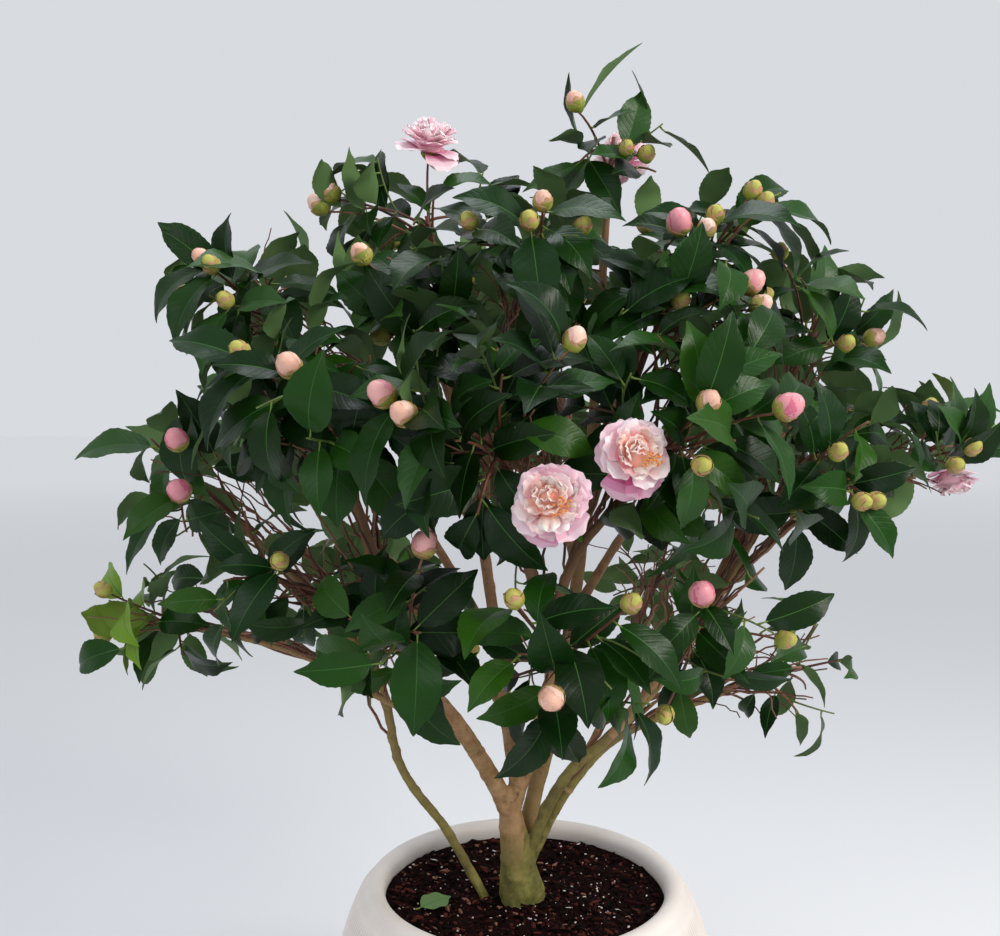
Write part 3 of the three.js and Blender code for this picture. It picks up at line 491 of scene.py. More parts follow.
# name, middle, reach, shoots, of which end in a bud, share of leaves that are there, and for each further
# shoot the place of its tip and how far its bud has swollen, if it has one
MASSES = (
    ("top_spire", (99, -20, 1228), (88, 92, 118), 4, 1, 0.72, (
        (55, -80, 1250, 0.3), (105, -95, 1200, 0.05), (125, -90, 1195, 0.2), (58, -78, 1196, None),
        (142, -74, 1186, None))),
    ("top_left", (-108, -55, 1130), (135, 130, 92), 4, 1, 0.58, (
        (-218, -85, 1140, 0.6), (-206, -90, 1152, 0.55))),
    ("top_mid", (10, -160, 1075), (130, 130, 100), 4, 1, 0.56, (
        (-55, -245, 1095, 0.1), (10, -255, 1110, 0.3), (-2, -265, 1092, 0.15))),
    ("top_right", (195, -80, 1090), (140, 135, 92), 4, 2, 0.57, (
        (150, -185, 1100, 0.95), (175, -190, 1097, 0.3), (185, -180, 1112, 0.05), (225, -160, 1140, 0.1),
        (236, -165, 1128, 0.05))),
    ("upper_right", (335, 0, 1010), (135, 150, 110), 5, 2, 0.58, (
        (335, -120, 990, 0.1), (270, -110, 1085, 0.1))),
    ("upper_left", (-290, -50, 1035), (140, 150, 112), 5, 2, 0.58, (
        (-305, -170, 1030, 0.15), (-320, -165, 1065, 0.2), (-333, -150, 1073, 0.3))),
    ("left_front", (-200, -235, 925), (150, 118, 140), 5, 1, 0.85, (
        (-210, -325, 955, 0.75), (-255, -310, 970, 0.1))),
    ("left_mid", (-385, -30, 852), (122, 150, 125), 4, 1, 0.58, (
        (-360, -148, 835, 0.9), (-365, -142, 885, 0.95))),
    ("left_low", (-428, 0, 676), (120, 92, 72), 3, 1, 0.6, ((-480, -42, 712, 0.05),)),
    ("left_low_front", (-262, -140, 755), (125, 130, 110), 4, 0, 0.45, ((-240, -240, 775, 0),)),
    ("centre_front", (-32, -295, 905), (138, 112, 145), 4, 0, 0.9, (
        (30, -350, 975, 0.35), (-122, -345, 930, 0.85), (-103, -362, 915, 0.75))),
    ("right_front", (128, -255, 905), (138, 120, 145), 4, 1, 0.9, (
        (145, -350, 925, 0.25), (215, -315, 920, 0.9), (140, -350, 875, 0.2))),
    ("upper_front_left", (-100, -180, 1018), (110, 105, 100), 4, 1, 0.76, ((-158, -222, 1065, 0.25),)),
    ("upper_front_right", (128, -180, 1012), (110, 105, 100), 4, 1, 0.76, (
        (208, -205, 1040, 0.8), (215, -220, 1020, 0.4))),
    ("right_mid", (295, -130, 880), (135, 135, 130), 4, 1, 0.65, (
        (290, -240, 880, 0.2), (330, -225, 835, 0.05), (315, -232, 835, 0.05), (225, -185, 808, None),
        (268, -195, 800, None))),
    ("right_tip", (462, -36, 882), (106, 108, 88), 4, 1, 0.72, (
        (468, -125, 880, 0.2), (453, -122, 862, 0.1))),
    ("low_left_front", (-128, -235, 715), (120, 110, 118), 4, 1, 0.56, ((-100, -285, 790, 0.85),)),
    ("low_front", (25, -285, 700), (110, 104, 128), 4, 1, 0.46, (
        (-15, -345, 755, 0.05), (80, -340, 750, 0.1), (15, -362, 680, 0.72))),
    ("low_right_front", (178, -195, 722), (122, 120, 110), 4, 1, 0.4, (
        (155, -285, 750, 0.9), (128, -262, 640, 0))),
    ("low_right", (318, -20, 628), (118, 130, 125), 4, 0, 0.4, ()),
    ("back_left", (-300, 190, 920), (150, 145, 145), 5, 1, 0.88, (
        (-352, 240, 1010, 0.4), (-270, 300, 940, 0.1))),
    ("back_top", (10, 170, 1075), (160, 150, 125), 5, 2, 0.8, (
        (-60, 250, 1120, 0.7), (55, 265, 1100, 0.1), (100, 200, 1150, 0.3))),
    ("back_right", (300, 190, 900), (150, 145, 145), 5, 1, 0.88, (
        (370, 250, 950, 0.1), (280, 300, 930, 0.85), (320, 290, 860, 0.2))),
    ("back_mid", (0, 300, 870), (155, 125, 150), 5, 1, 0.92, (
        (-80, 370, 900, 0.2), (40, 390, 850, 0.9), (20, 375, 960, 0.1))),
    ("back_low_left", (-225, 210, 700), (135, 125, 112), 4, 1, 0.6, (
        (-240, 310, 720, 0.1), (-160, 290, 690, 0.6))),
    ("back_low_right", (195, 245, 690), (135, 125, 112), 4, 0, 0.42, (
        (210, 345, 700, 0.05), (270, 300, 740, 0.3))),
)
FORK_LEVEL = 668  # the limbs are fused into one body up to this level
FORK_VOXEL = 1.7
FORK_SIDES, BOUGH_SIDES = 20, 12
FORK_OVERLAP = 0.03  # share of a limb that its upper length goes on inside the fork
STEM_DEPTH = 7  # how far down in the soil the stems start
LIMB_RING_STEP = 5.0
COLLAR_SWELL, COLLAR_REACH = 0.3, 16  # how much thicker a limb is where it leaves its parent, and how far out
LOBE_DEPTH, LOBE_HEIGHT = 0.11, 24  # the three lobes of the root flare
BARK_FORMS = ((7, 26, 0), (2.6, 1.9, 0), (16, 13, 40))  # size across and along, and where noise is read
BARK_HEIGHTS = (0.8, 0.22, 3.6)  # of ripples, wrinkles and old leaf scars
KNOT_FROM = 0.28
GREEN_LIMBS = {"right_mid": 0.95, "low_right": 1.0, "left_mid": 0.9, "left_low": 0.45, "top_spire": 0.4}
GREEN_FOOT = (352, 455)  # the trunk is green below the first of these levels and tan above the second
TRUNK_COLOURS = ("84633f", "b08c66", "857d43", "4a4c1f", "2b1c0e")  # tan, pale tan, olive, moss, dark scars
UPPER_BARK_COLOUR = "6b4b39"
UPPER_BARK_LEVELS = (0.5, 0.8)  # metres: the tan bark turns red-brown between these


class Line:
    """A smooth line in millimetres, walked by its share of length."""

    def __init__(self, points):
        self.points = np.asarray(points, float)
        steps = np.linalg.norm(np.diff(self.points, axis=0), axis=1)
        self.walked = np.concatenate([[0], np.cumsum(steps)])
        self.length = self.walked[-1]

    def at(self, share):
        """The place at a share of its length, or at each of several."""
        where = np.clip(share, 0, 1) * self.length
        return np.stack([np.interp(where, self.walked, self.points[:, i]) for i in range(3)], axis=-1)

    def way(self, share):
        """Where the line heads at a share of its length."""
        return unit(self.at(min(share + 0.01, 1)) - self.at(max(share - 0.01, 0)))


def unit(vector):
    """A vector, or each of several, made 1 long."""
    return vector / np.linalg.norm(vector, axis=-1, keepdims=True)


def through(points, samples=160):
    """A centripetal Catmull-Rom line through points."""
    points = np.asarray(points, float)
    ends = [2 * points[0] - points[1], *points, 2 * points[-1] - points[-2]]
    walked = []
    for step in np.linspace(0, len(points) - 1, samples + 1):
        i = min(int(step), len(points) - 2)
        a, b, c, d = ends[i:i + 4]
        before, here, after = (np.linalg.norm(q - p) ** 0.5 for p, q in ((a, b), (b, c), (c, d)))
        lead = ((b - a) / before - (c - a) / (before + here) + (c - b) / here) * here
        trail = ((c - b) / here - (d - b) / (here + after) + (d - c) / after) * here
        share = step - i
        cubic = 2 * (b - c) + lead + trail
        walked.append(b + share * (lead + share * (3 * (c - b) - 2 * lead - trail + share * cubic)))
    return Line(walked)


def arc(start, by, end, samples=24):
    """A line from start to end that leans towards by."""
    share = np.linspace(0, 1, samples + 1)[:, None]
    return Line((1 - share) ** 2 * start + 2 * share * (1 - share) * by + share ** 2 * end)


def ways_round(turns, side, other):
    """The ways at some turns from side towards other."""
    return np.cos(turns)[..., None] * side + np.sin(turns)[..., None] * other


def rings_along(points, radii, sides):
    """Rings of points round a line. radii is one radius a ring, or one for each point of each ring."""
    ways = unit(np.gradient(points, axis=0))
    turns = np.arange(sides) * 2 * math.pi / sides
    side = np.cross(ways[0], (0.31, 0.94, 0.12))
    rings = []
    for point, way, radius in zip(points, ways, radii):
        side = unit(side - way * side.dot(way))
        rings.append(point + ways_round(turns, side, np.cross(way, side)) * np.reshape(radius, (-1, 1)))
    return np.array(rings)


def outward_of(point):
    """The way from the crown's centre to a point, longer than 1 outside the crown."""
    return (point - CROWN_CENTRE) / CROWN_REACH


class Limb:
    """The trunk or one bough. Its radii are spread evenly along it."""

    def __init__(self, name, parent, line, radii):
        self.name, self.parent, self.line, self.radii = name, parent, line, radii

    def radius(self, share):
        return np.interp(share, np.linspace(0, 1, len(self.radii)), self.radii)


class Mass:
    """The space of one mass of foliage, and what grows in it."""

    def __init__(self, index, name, centre, reach, count, buds, fullness, places):
        self.index, self.name, self.count, self.buds = index, name, count, buds
        self.fullness, self.places = fullness, places
        self.centre, self.reach = np.array(centre, float), np.array(reach, float)
        self.size = self.reach.mean()
        self.outward = unit(outward_of(self.centre))
        self.shoots = []

    def take(self, shoot, tips):
        """Keeps a shoot, and its tip among all tips, if there is one."""
        if shoot:
            tips.append(shoot.line.points[-1])
            self.shoots.append(shoot)


masses = [Mass(index, *row) for index, row in enumerate(MASSES)]
mass_named = {mass.name: mass for mass in masses}
limbs = {"trunk": Limb("trunk", None, through(TRUNK_WAY), TRUNK_RADII)}
for to, parent_name, leaves_at, radii, past in BOUGHS:
    mass, parent = mass_named[to], limbs.get(parent_name)
    points = [np.array(point, float) for point in past]
    if parent:
        points.insert(0, parent.line.at(leaves_at))
    back = points[-1] - mass.centre
    entry = mass.centre + back * BOUGH_ENTRY / np.linalg.norm(back / mass.reach)
    if len(points) == 1:
        sweep = parent.line.way(leaves_at) * BOUGH_SWEEP * np.linalg.norm(entry - points[0])
        points.append((points[0] + entry) / 2 + sweep)
    limbs[to] = Limb("bough_" + to, parent, through([*points, entry]), radii)


def bark_relief(points, strength):
    """How far bark stands out at each point: lengthwise ripples, fine wrinkles and old leaf scars."""
    out = []
    for x, y, z in points:
        ripple, wrinkle, knot = (noise.noise(Vector((x / across, y / across, z / along + start)))
                                 for across, along, start in BARK_FORMS)
        out.append((ripple, wrinkle, max(0, knot - KNOT_FROM)))
    ripples, wrinkles, knots = (np.array(out) * BARK_HEIGHTS).T
    return (ripples + wrinkles + knots) * strength


def limb_rings(limb, first, last, sides):
    """A limb's rings between two shares of its length, swollen where it leaves its parent."""
    count = max(4, int(limb.line.length * (last - first) / LIMB_RING_STEP))
    shares = np.linspace(first, last, count)
    radii = limb.radius(shares)
    if limb.parent:
        radii = radii * (1 + COLLAR_SWELL * np.exp(-shares * limb.line.length / COLLAR_REACH))
    rings = rings_along(limb.line.at(shares), radii, sides)
    if not limb.parent:
        centres = limb.line.at(shares)[:, None]
        lobes = 1 + LOBE_DEPTH * np.cos(3 * np.arctan2(*(rings - centres)[..., 1::-1].T).T - 0.6) * np.exp(
            -np.maximum(rings[..., 2] - SOIL_LEVEL, 0) / LOBE_HEIGHT)
        rings = centres + (rings - centres) * lobes[..., None]
    return rings


fork_shapes, bough_shapes = Gathered(), Gathered()
for limb in limbs.values():
    shares = np.linspace(0, 1, 161)
    levels = limb.line.at(shares)[:, 2]
    first = shares[np.argmax(levels > SOIL_LEVEL - STEM_DEPTH)]
    above = levels > FORK_LEVEL
    last = shares[np.argmax(above)] if above.any() else 1
    if last > first + 0.02:
        add_skin(fork_shapes, limb_rings(limb, first, last, FORK_SIDES))
    if last < 1:
        rings = limb_rings(limb, max(last - FORK_OVERLAP, first), 1, BOUGH_SIDES)
        centres = rings.mean(axis=1, keepdims=True)
        relief = bark_relief(rings.reshape(-1, 3), 0.8).reshape(rings.shape[:2])
        add_skin(bough_shapes, rings + unit(rings - centres) * relief[..., None])

# Camellia bark is thin, dry and close: matt with a little shine, tan in patches of 22 mm, red-brown
# higher up, mossy at the foot, with dark scars of 12 mm and close wrinkles along the limb.
camellia_bark = new_finish("camellia_bark", TRUNK_COLOURS[0], 0.72, Specular_IOR_Level=0.3)
tan, pale_tan, olive, moss, scars = (linear(colour) for colour in TRUNK_COLOURS)
bark_place = add_node(camellia_bark, "TexCoord", {}).outputs["Object"]
bark_cloud = add_node(camellia_bark, "TexNoise", {
    "Vector": bark_place, "Scale": 1000 / 22, "Detail": 6.0, "Roughness": 0.65})
bark_patch = add_node(camellia_bark, "MapRange", {
    "Value": bark_cloud.outputs["Fac"], "From Min": 0.38, "From Max": 0.64}).outputs["Result"]
bark_level = add_node(camellia_bark, "SeparateXYZ", {"Vector": bark_place})
bark_redness = add_node(camellia_bark, "MapRange", {
    "Value": bark_level.outputs["Z"], "From Min": UPPER_BARK_LEVELS[0], "From Max": UPPER_BARK_LEVELS[1],
    "To Max": 0.75}).outputs["Result"]
bark_green = add_node(camellia_bark, "Mix", {"Factor": bark_patch, "A": olive, "B": moss},
                      data_type="RGBA").outputs["Result"]
bark_youth = add_node(camellia_bark, "Attribute", {}, attribute_name="greenness").outputs["Fac"]
bark_spots = add_node(camellia_bark, "TexNoise", {
    "Vector": bark_place, "Scale": 1000 / 12, "Detail": 8.0, "Roughness": 0.75})
bark_scar = add_node(camellia_bark, "MapRange", {
    "Value": bark_spots.outputs["Fac"], "From Min": 0.55, "From Max": 0.74, "To Max": 0.9}).outputs["Result"]
bark_colour = tan
for share, colour in ((bark_patch, pale_tan), (bark_redness, linear(UPPER_BARK_COLOUR)),
                      (bark_youth, bark_green), (bark_scar, scars)):
    bark_colour = add_node(camellia_bark, "Mix", {"Factor": share, "A": bark_colour, "B": colour},
                           data_type="RGBA").outputs["Result"]
bark_stretch = add_node(camellia_bark, "Mapping", {
    "Vector": bark_place, "Scale": (1000 / 2.2, 1000 / 2.2, 1000 / 6)})
bark_wrinkle = add_node(camellia_bark, "TexNoise", {
    "Vector": bark_stretch.outputs["Vector"], "Scale": 1.0, "Detail": 4.0})
bark_bump = add_node(camellia_bark, "Bump", {
    "Height": bark_wrinkle.outputs["Fac"], "Strength": 0.55, "Distance": 0.0007})
shade(camellia_bark, Base_Color=bark_colour, Normal=bark_bump.outputs["Normal"])


def paint_greenness(mesh):
    """Bark is green low on the trunk and on the thin stems that rise beside it."""
    points = np.zeros(3 * len(mesh.vertices))
    mesh.vertices.foreach_get("co", points)
    points = points.reshape(-1, 3) * 1000
    marks, youth = [], []
    for name, limb in limbs.items():
        shares = np.linspace(0, 1, 40)
        marks.append(limb.line.at(shares))
        youth.append(GREEN_LIMBS.get(name, 0.0) * (1 - 0.6 * shares))
    marks, youth = np.concatenate(marks), np.concatenate(youth)
    nearest = np.concatenate([
        np.linalg.norm(some[:, None] - marks, axis=2).argmin(axis=1) for some in np.array_split(points, 60)])
    mark(mesh, "greenness", np.maximum(youth[nearest], 1 - soft_step(points[:, 2], *GREEN_FOOT)))


fork = fork_shapes.joined("trunk_and_fork", [camellia_bark])
fuse = fork.modifiers.new("fuse", "REMESH")
fuse.mode = "VOXEL"
fuse.voxel_size = FORK_VOXEL / 1000
smooth_fork = fork.modifiers.new("smooth", "SMOOTH")
smooth_fork.iterations = 3
fused = bpy.data.meshes.new_from_object(fork.evaluated_get(bpy.context.evaluated_depsgraph_get()))
fork.modifiers.clear()
fork.data = fused
fork_points, fork_normals = np.zeros(3 * len(fused.vertices)), np.zeros(3 * len(fused.vertices))
fused.vertices.foreach_get("co", fork_points)
fused.vertices.foreach_get("normal", fork_normals)
fork_points, fork_normals = fork_points.reshape(-1, 3), fork_normals.reshape(-1, 3)
relief = bark_relief(fork_points * 1000, 1.0) / 1000
fused.vertices.foreach_set("co", (fork_points + fork_normals * relief[:, None]).ravel())
fused.polygons.foreach_set("use_smooth", np.ones(len(fused.polygons), bool))
paint_greenness(fused)
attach(fork, "root")

boughs = bough_shapes.joined("upper_boughs", [camellia_bark])
paint_greenness(boughs.data)
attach(boughs, "root")
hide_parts(*[limb.name for name, limb in limbs.items() if name not in ("trunk", "right_mid")])
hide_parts("trunk", "bough_right_mid")

# Twigs
# Each mass of foliage grows from one stem, which goes on from the tip of its bough. Shoots leave the
# stem, finer twigs leave the shoots, and old bare twigs rise beside the bough. All are one wood.
SEAT_GAP = 0.3
CELL_MARGIN = 1.5
BACK_SHARE = -0.35
LIMB_GAP = 1.2
SHORTEST_SHOOT = 32
SHOOT_TRIES = 16
EXTRA_ROUNDS = 3  # shoots on each mass beyond the solids' own
BACK_EXTRA_ROUNDS = 6  # and on each mass at the back
SHOOT_LEANS = (0.44, 0.22)  # of the mass's reach out to a shoot's tip: the least, and how much more
SHOOT_ROOTS = (0.35, 0.6)  # of the stem's length up to its root: the same
SHOOT_ARCH = 0.22
SHOOT_SPREAD_STEP = 0.37
BLOSSOM_SHARE = 0.42
BLOSSOM_STALK = 25
PLACED_ARCH = 0.2
PLACED_LEAVES = 5
PLACED_SEED = 900  # a shoot with a set tip has its own seed
TWIG_TRIES = 10
TWIG_ROOTS = (0.25, 0.5)
TWIG_LENGTHS = (34, 34)
TWIG_SPACING = 14
TWIG_LIMB_GAP = 6
FULL_TURN = 6.28
LEAVES_PER_SHOOT = 6
LEAVES_PER_TWIG = 3
STEM_TIP_RADIUS = 2.4
SHOOT_RADII = (1.9, 1.2)
TWIG_RADII = (1.25, 0.95)
BARE_TWIG_RADII = (2.1, 0.9)
BARE_FORK_RADII = (1.1, 0.7)
BARE_TWIGS = {"low_right": 12, "low_right_front": 16, "left_low_front": 15}  # and on every other bough
BARE_TWIGS_ELSEWHERE = 11
BARE_BELOW = 1085  # masses above this level have none
SHORTEST_BARE_TWIG = 50
BUD_LIFT = np.array((0, 0, 0.6))  # buds turn up a little
BLOSSOM_RADIUS = 38
BLOSSOMS = {
    # mass: place, the way it faces, how far it is open, and how many stamens show
    "top_spire": ((114, 6, 1220), (-0.2, -0.7, 0.65), 0.95, 0),
    "top_left": ((-108, -64, 1216), (0.12, -0.4, 0.88), 1.5, 0),
    "centre_front": ((13, -362, 846), (-0.15, -0.85, 0.35), 1.0, 13),
    "right_front": ((86, -338, 884), (0.1, -0.9, 0.3), 1.0, 15),
    "right_tip": ((480, -66, 852), (0.15, -0.3, -0.92), 0.4, 0),
}
ARCHED_TWIG = ((-170, -25, 588), (-228, -24, 622), (-292, -20, 640), (-352, -12, 664))
TWIG_COLOURS = ("6b3f2e", "825a45", "54301f", "56682c")  # brown, tan, dark red-brown and young green
WORD = 0xFFFFFFFF


def seeded(seed):
    """Numbers from 0 to 1 that are the same each time for one seed."""
    state = seed & WORD

    def draw():
        nonlocal state
        state = (state + 0x6D2B79F5) & WORD
        mixed = ((state ^ (state >> 15)) * (state | 1)) & WORD
        mixed ^= (mixed + (((mixed ^ (mixed >> 7)) * (mixed | 61)) & WORD)) & WORD
        return (mixed ^ (mixed >> 14)) / (WORD + 1)

    return draw


def spread_way(k, start):
    """The way of shoot number k, from an even spread over the ball."""
    u, v = (start + (k + 1) * 0.7548776662) % 1, (start + (k + 1) * 0.5698402909) % 1
    z = 1 - 2 * u
    r = math.sqrt(1 - z * z)
    return np.array((r * math.cos(2 * math.pi * v), r * math.sin(2 * math.pi * v), z))


limb_shares = np.linspace(0, 1, 12)
limb_starts = np.concatenate([limb.line.at(limb_shares)[:-1] for limb in limbs.values()])
limb_ends = np.concatenate([limb.line.at(limb_shares)[1:] for limb in limbs.values()])
limb_radii = np.concatenate([limb.radius(limb_shares)[:-1] for limb in limbs.values()])
limb_owners = np.repeat(np.arange(len(limbs)), len(limb_shares) - 1)
limb_numbers = {name: number for number, name in enumerate(limbs)}


def room_beside_limbs(points, own=None):
    """The least room between some points and every limb but one."""
    other = limb_owners != limb_numbers.get(own, -1)
    starts, along = limb_starts[other], (limb_ends - limb_starts)[other]
    off = points[..., None, :] - starts
    share = np.clip((off * along).sum(-1) / (along * along).sum(-1), 0, 1)
    return (np.linalg.norm(off - share[..., None] * along, axis=-1) - limb_radii[other]).min(axis=-1)


def set_space(mass):
    """A mass keeps to its own reach, and to its own side of the planes halfway to its neighbours."""
    others = [other for other in masses if other is not mass]
    way = np.array([other.centre - mass.centre for other in others])
    apart = np.linalg.norm(way, axis=1)
    sizes = np.array([other.size for other in others])
    mass.ways = way / apart[:, None]
    mass.limits = (apart ** 2 + mass.size ** 2 - sizes ** 2) / (2 * apart) - CELL_MARGIN


def inside(mass, points, past=0):
    """Whether each point is in the mass's space, or past it by no more than a little."""
    off = points - mass.centre
    near = np.linalg.norm(off / mass.reach, axis=-1) <= 1 + past / mass.size
    return near & ((off @ mass.ways.T) < mass.limits + past).all(axis=-1)


def beside_blossom(mass, points, gap):
    """Whether points come nearer than a gap to the mass's blossom, if it has one."""
    if mass.blossom is None:
        return False
    return np.linalg.norm(points - mass.blossom, axis=1).min() < BLOSSOM_RADIUS + gap


class Shoot:
    """A shoot or twig with the leaves on it, and the bud at its end, if it has one."""

    def __init__(self, line, seed, turn, radii, leaves, bud=None, swollen=0):
        self.line, self.seed, self.turn, self.radii, self.leaves = line, seed, turn, radii, leaves
        self.bud, self.swollen = bud, swollen


def shoot_line(mass, root_share, tip, arch):
    """A shoot's line: it leaves the mass's stem along the stem and arches over to its tip."""
    root = mass.stem.at(root_share)
    away = mass.stem.way(root_share) * np.linalg.norm(tip - root) * arch
    return arc(root, (root + tip) / 2 + away, tip)


def grow_shoot(mass, round_number, tips):
    """Of the ways that keep to the mass's space, takes the one that ends furthest from every tip."""
    best, best_free = None, 0
    for k in range(round_number * SHOOT_TRIES, (round_number + 1) * SHOOT_TRIES):
        random = seeded(mass.index * 1000 + k)
        way = spread_way(k, mass.index * SHOOT_SPREAD_STEP)
        lean = SHOOT_LEANS[0] + SHOOT_LEANS[1] * random()
        root_share = SHOOT_ROOTS[0] + SHOOT_ROOTS[1] * random()
        turn = random() * 2 * math.pi
        tip = mass.centre + way * mass.reach * lean
        reach = np.linalg.norm(tip - mass.stem.at(root_share))
        if way.dot(mass.outward) < BACK_SHARE or reach < SHORTEST_SHOOT or not inside(mass, tip):
            continue
        line = shoot_line(mass, root_share, tip, SHOOT_ARCH)
        points = line.points[::6]
        if room_beside_limbs(points, mass.name).min() < 2 + LIMB_GAP or beside_blossom(mass, points, 8):
            continue
        free = min(np.linalg.norm(other - tip) for other in tips)
        if free > best_free:
            best, best_free = Shoot(line, mass.index * 1000 + k, turn, SHOOT_RADII, LEAVES_PER_SHOOT), free
    mass.take(best, tips)


def grow_side_twig(mass, shoot, number, tips):
    """A finer twig on a shoot, by the same rule, with a few leaves of its own."""
    best, best_free = None, TWIG_SPACING
    for k in range(TWIG_TRIES):
        seed = shoot.seed * 17 + 101 * number + k
        random = seeded(seed)
        share = TWIG_ROOTS[0] + TWIG_ROOTS[1] * random()
        root, tangent = shoot.line.at(share), shoot.line.way(share)
        side = unit(np.cross(tangent, spread_way(k + 7 * number, random())))
        length = TWIG_LENGTHS[0] + TWIG_LENGTHS[1] * random()
        tip = root + unit(side + 0.6 * tangent + 0.35 * mass.outward) * length
        if (not inside(mass, tip) or room_beside_limbs(tip) < TWIG_LIMB_GAP
                or beside_blossom(mass, tip[None], 14)):
            continue
        free = min(np.linalg.norm(other - tip) for other in tips)
        if free > best_free:
            line = arc(root, root + tangent * length * 0.3 + side * length * 0.25, tip, 10)
            best, best_free = Shoot(line, seed, random() * FULL_TURN, TWIG_RADII, LEAVES_PER_TWIG), free
    mass.take(best, tips)


def bud_way(mass, line):
    """A bud at the end of a shoot goes on along it, turned outwards and up."""
    return unit(line.way(1) + 0.5 * mass.outward + BUD_LIFT)


tips = [np.array(place, float) for place, *_ in BLOSSOMS.values()]
for mass in masses:
    set_space(mass)
    bough = limbs[mass.name]
    end = bough.line.way(1)
    start = bough.line.points[-1] + end * SEAT_GAP
    heart = mass.centre + mass.outward * 0.1 * mass.size
    mass.stem = arc(start, start + end * np.linalg.norm(heart - start) * 0.45, heart)
    mass.blossom = None
    mass.twigs = [(mass.stem, (bough.radii[-1], STEM_TIP_RADIUS))]
    if mass.name in BLOSSOMS:
        place, faces, *_ = BLOSSOMS[mass.name]
        mass.blossom, mass.faces = np.array(place, float), unit(np.array(faces, float))
        foot = mass.blossom - mass.faces * BLOSSOM_SHARE * BLOSSOM_RADIUS
        mass.twigs.append((arc(mass.stem.at(0.8), foot - mass.faces * BLOSSOM_STALK, foot), SHOOT_RADII))
for round_number in range(max(mass.count for mass in masses)):
    for mass in masses:
        if round_number < mass.count:
            grow_shoot(mass, round_number, tips)
mass_named["left_low"].twigs.append((through(ARCHED_TWIG), BARE_TWIG_RADII))
for mass in masses:
    for number, shoot in enumerate(mass.shoots[:mass.buds]):
        shoot.bud, shoot.swollen = bud_way(mass, shoot.line), 0.15 + 0.3 * number
    for number, (*place, swollen) in enumerate(mass.places):
        line = shoot_line(mass, 0.45 + 0.12 * (number % 4), np.array(place, float), PLACED_ARCH)
        facing = None if swollen is None else bud_way(mass, line)
        seed = mass.index * 1000 + PLACED_SEED + number
        mass.take(Shoot(line, seed, 2.1 * number, SHOOT_RADII, PLACED_LEAVES, facing, swollen), tips)
for round_number in range(BACK_EXTRA_ROUNDS):
    for mass in masses:
        if round_number < EXTRA_ROUNDS or mass.name.startswith("back"):
            grow_shoot(mass, mass.count + round_number, tips)
for mass in masses:
    for number, shoot in enumerate(list(mass.shoots)):
        if number % 2:
            grow_side_twig(mass, shoot, number, tips)


def add_twig(shapes, line, radii, sides, finish, seed=None):
    """A twig, thickest at its root, with a slight crook at each old leaf's place."""
    count = max(4, int(line.length / 13) + 2)
    shares = np.linspace(0, 1, count)
    points = line.at(shares)
    if seed is not None:
        random = seeded(seed)
        crook = np.array([[random() - 0.5 for _ in range(3)] for _ in range(count)])
        crook[0] = crook[-1] = 0
        points = points + crook * min(5, 0.022 * line.length + 1.2)
    add_skin(shapes, rings_along(points, np.interp(shares, (0, 1), radii), sides), finish)


twig_shapes = Gathered()
for mass in masses:
    for line, radii in mass.twigs:
        add_twig(twig_shapes, line, radii, 7, 0)
    for shoot in mass.shoots:
        add_twig(twig_shapes, shoot.line, shoot.radii, 5, 3 if shoot.radii is TWIG_RADII else shoot.seed % 3)
    bough = limbs[mass.name]
    bare = BARE_TWIGS.get(mass.name, BARE_TWIGS_ELSEWHERE) if mass.centre[2] < BARE_BELOW else 0
    for number in range(bare):
        random = seeded(5000 + 97 * mass.index + number)
        share = 0.3 + 0.62 * (number + random()) / bare
        root, way = bough.line.at(share), bough.line.way(share)
        tip = mass.centre + spread_way(number, mass.index * 0.23) * mass.reach * (0.3 + 0.3 * random())
        reach = np.linalg.norm(tip - root)
        line = arc(root, root + way * reach * (0.3 + 0.25 * random()) + (0, 0, 0.1 * reach), tip)
        if not inside(mass, tip) or reach < SHORTEST_BARE_TWIG:
            continue
        add_twig(twig_shapes, line, BARE_TWIG_RADII, 5, number % 3, 300 * mass.index + number)
        fork_share = 0.35 + 0.4 * random()
        fork_root, fork_way = line.at(fork_share), line.way(fork_share)
        fork_tip = fork_root + unit(fork_way + 0.9 * spread_way(number + 3, random())) * reach * 0.4
        if inside(mass, fork_tip):
            fork_line = arc(fork_root, fork_root + fork_way * reach * 0.2, fork_tip)
            seed = 300 * mass.index + 40 + number
            add_twig(twig_shapes, fork_line, BARE_FORK_RADII, 4, (number + 1) % 3, seed)

# Young bark has a slight shine and fine lengthwise cracks, drawn as a grain of 1.8 mm.
twig_finishes = []
for number, colour in enumerate(TWIG_COLOURS):
    twig_bark = new_finish(f"twig_bark_{number + 1}", colour, 0.62)
    grain(twig_bark, 1.8, 3.0, 0.5, 0.5)
    twig_finishes.append(twig_bark)
twigs = twig_shapes.joined("twigs", twig_finishes)
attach(twigs, "root")

# Leaves
# Camellia leaves are thick, stiff and leathery: an oval blade with fine teeth and a drawn-out tip that
# hangs, folded a little along a pale midrib, on a short stalk that grows from the twig.
LEAF_LENGTH = 88
LEAF_LENGTH_SHARES = (0.78, 0.3)  # the least, and how much more at most
LEAF_WIDTH_SHARE = 0.49
LEAF_WIDTH_SHARES = (0.88, 0.24)
SMALL_LEAVES = {"low_right": 0.8, "low_right_front": 0.84, "back_low_right": 0.8, "left_low_front": 0.9}
LEAF_TRIES = 16
LEAF_TURN = 0.7
LEAF_SPACING = 13
LEAF_LIMB_GAP = 2
LEAF_BLOSSOM_GAP = 2
BLOSSOM_VIEW = 75  # no leaf stands in front of a blossom nearer than this
STALK_LENGTH = 8
STALK_RADII = (1.3, 1.0, 0.7)
GOLDEN_ANGLE = 2.39996
BARE_SHARE = 0.4
LEAF_ROWS = 23
LEAF_TEETH = 0.02
MIDRIB_HALF = 0.5
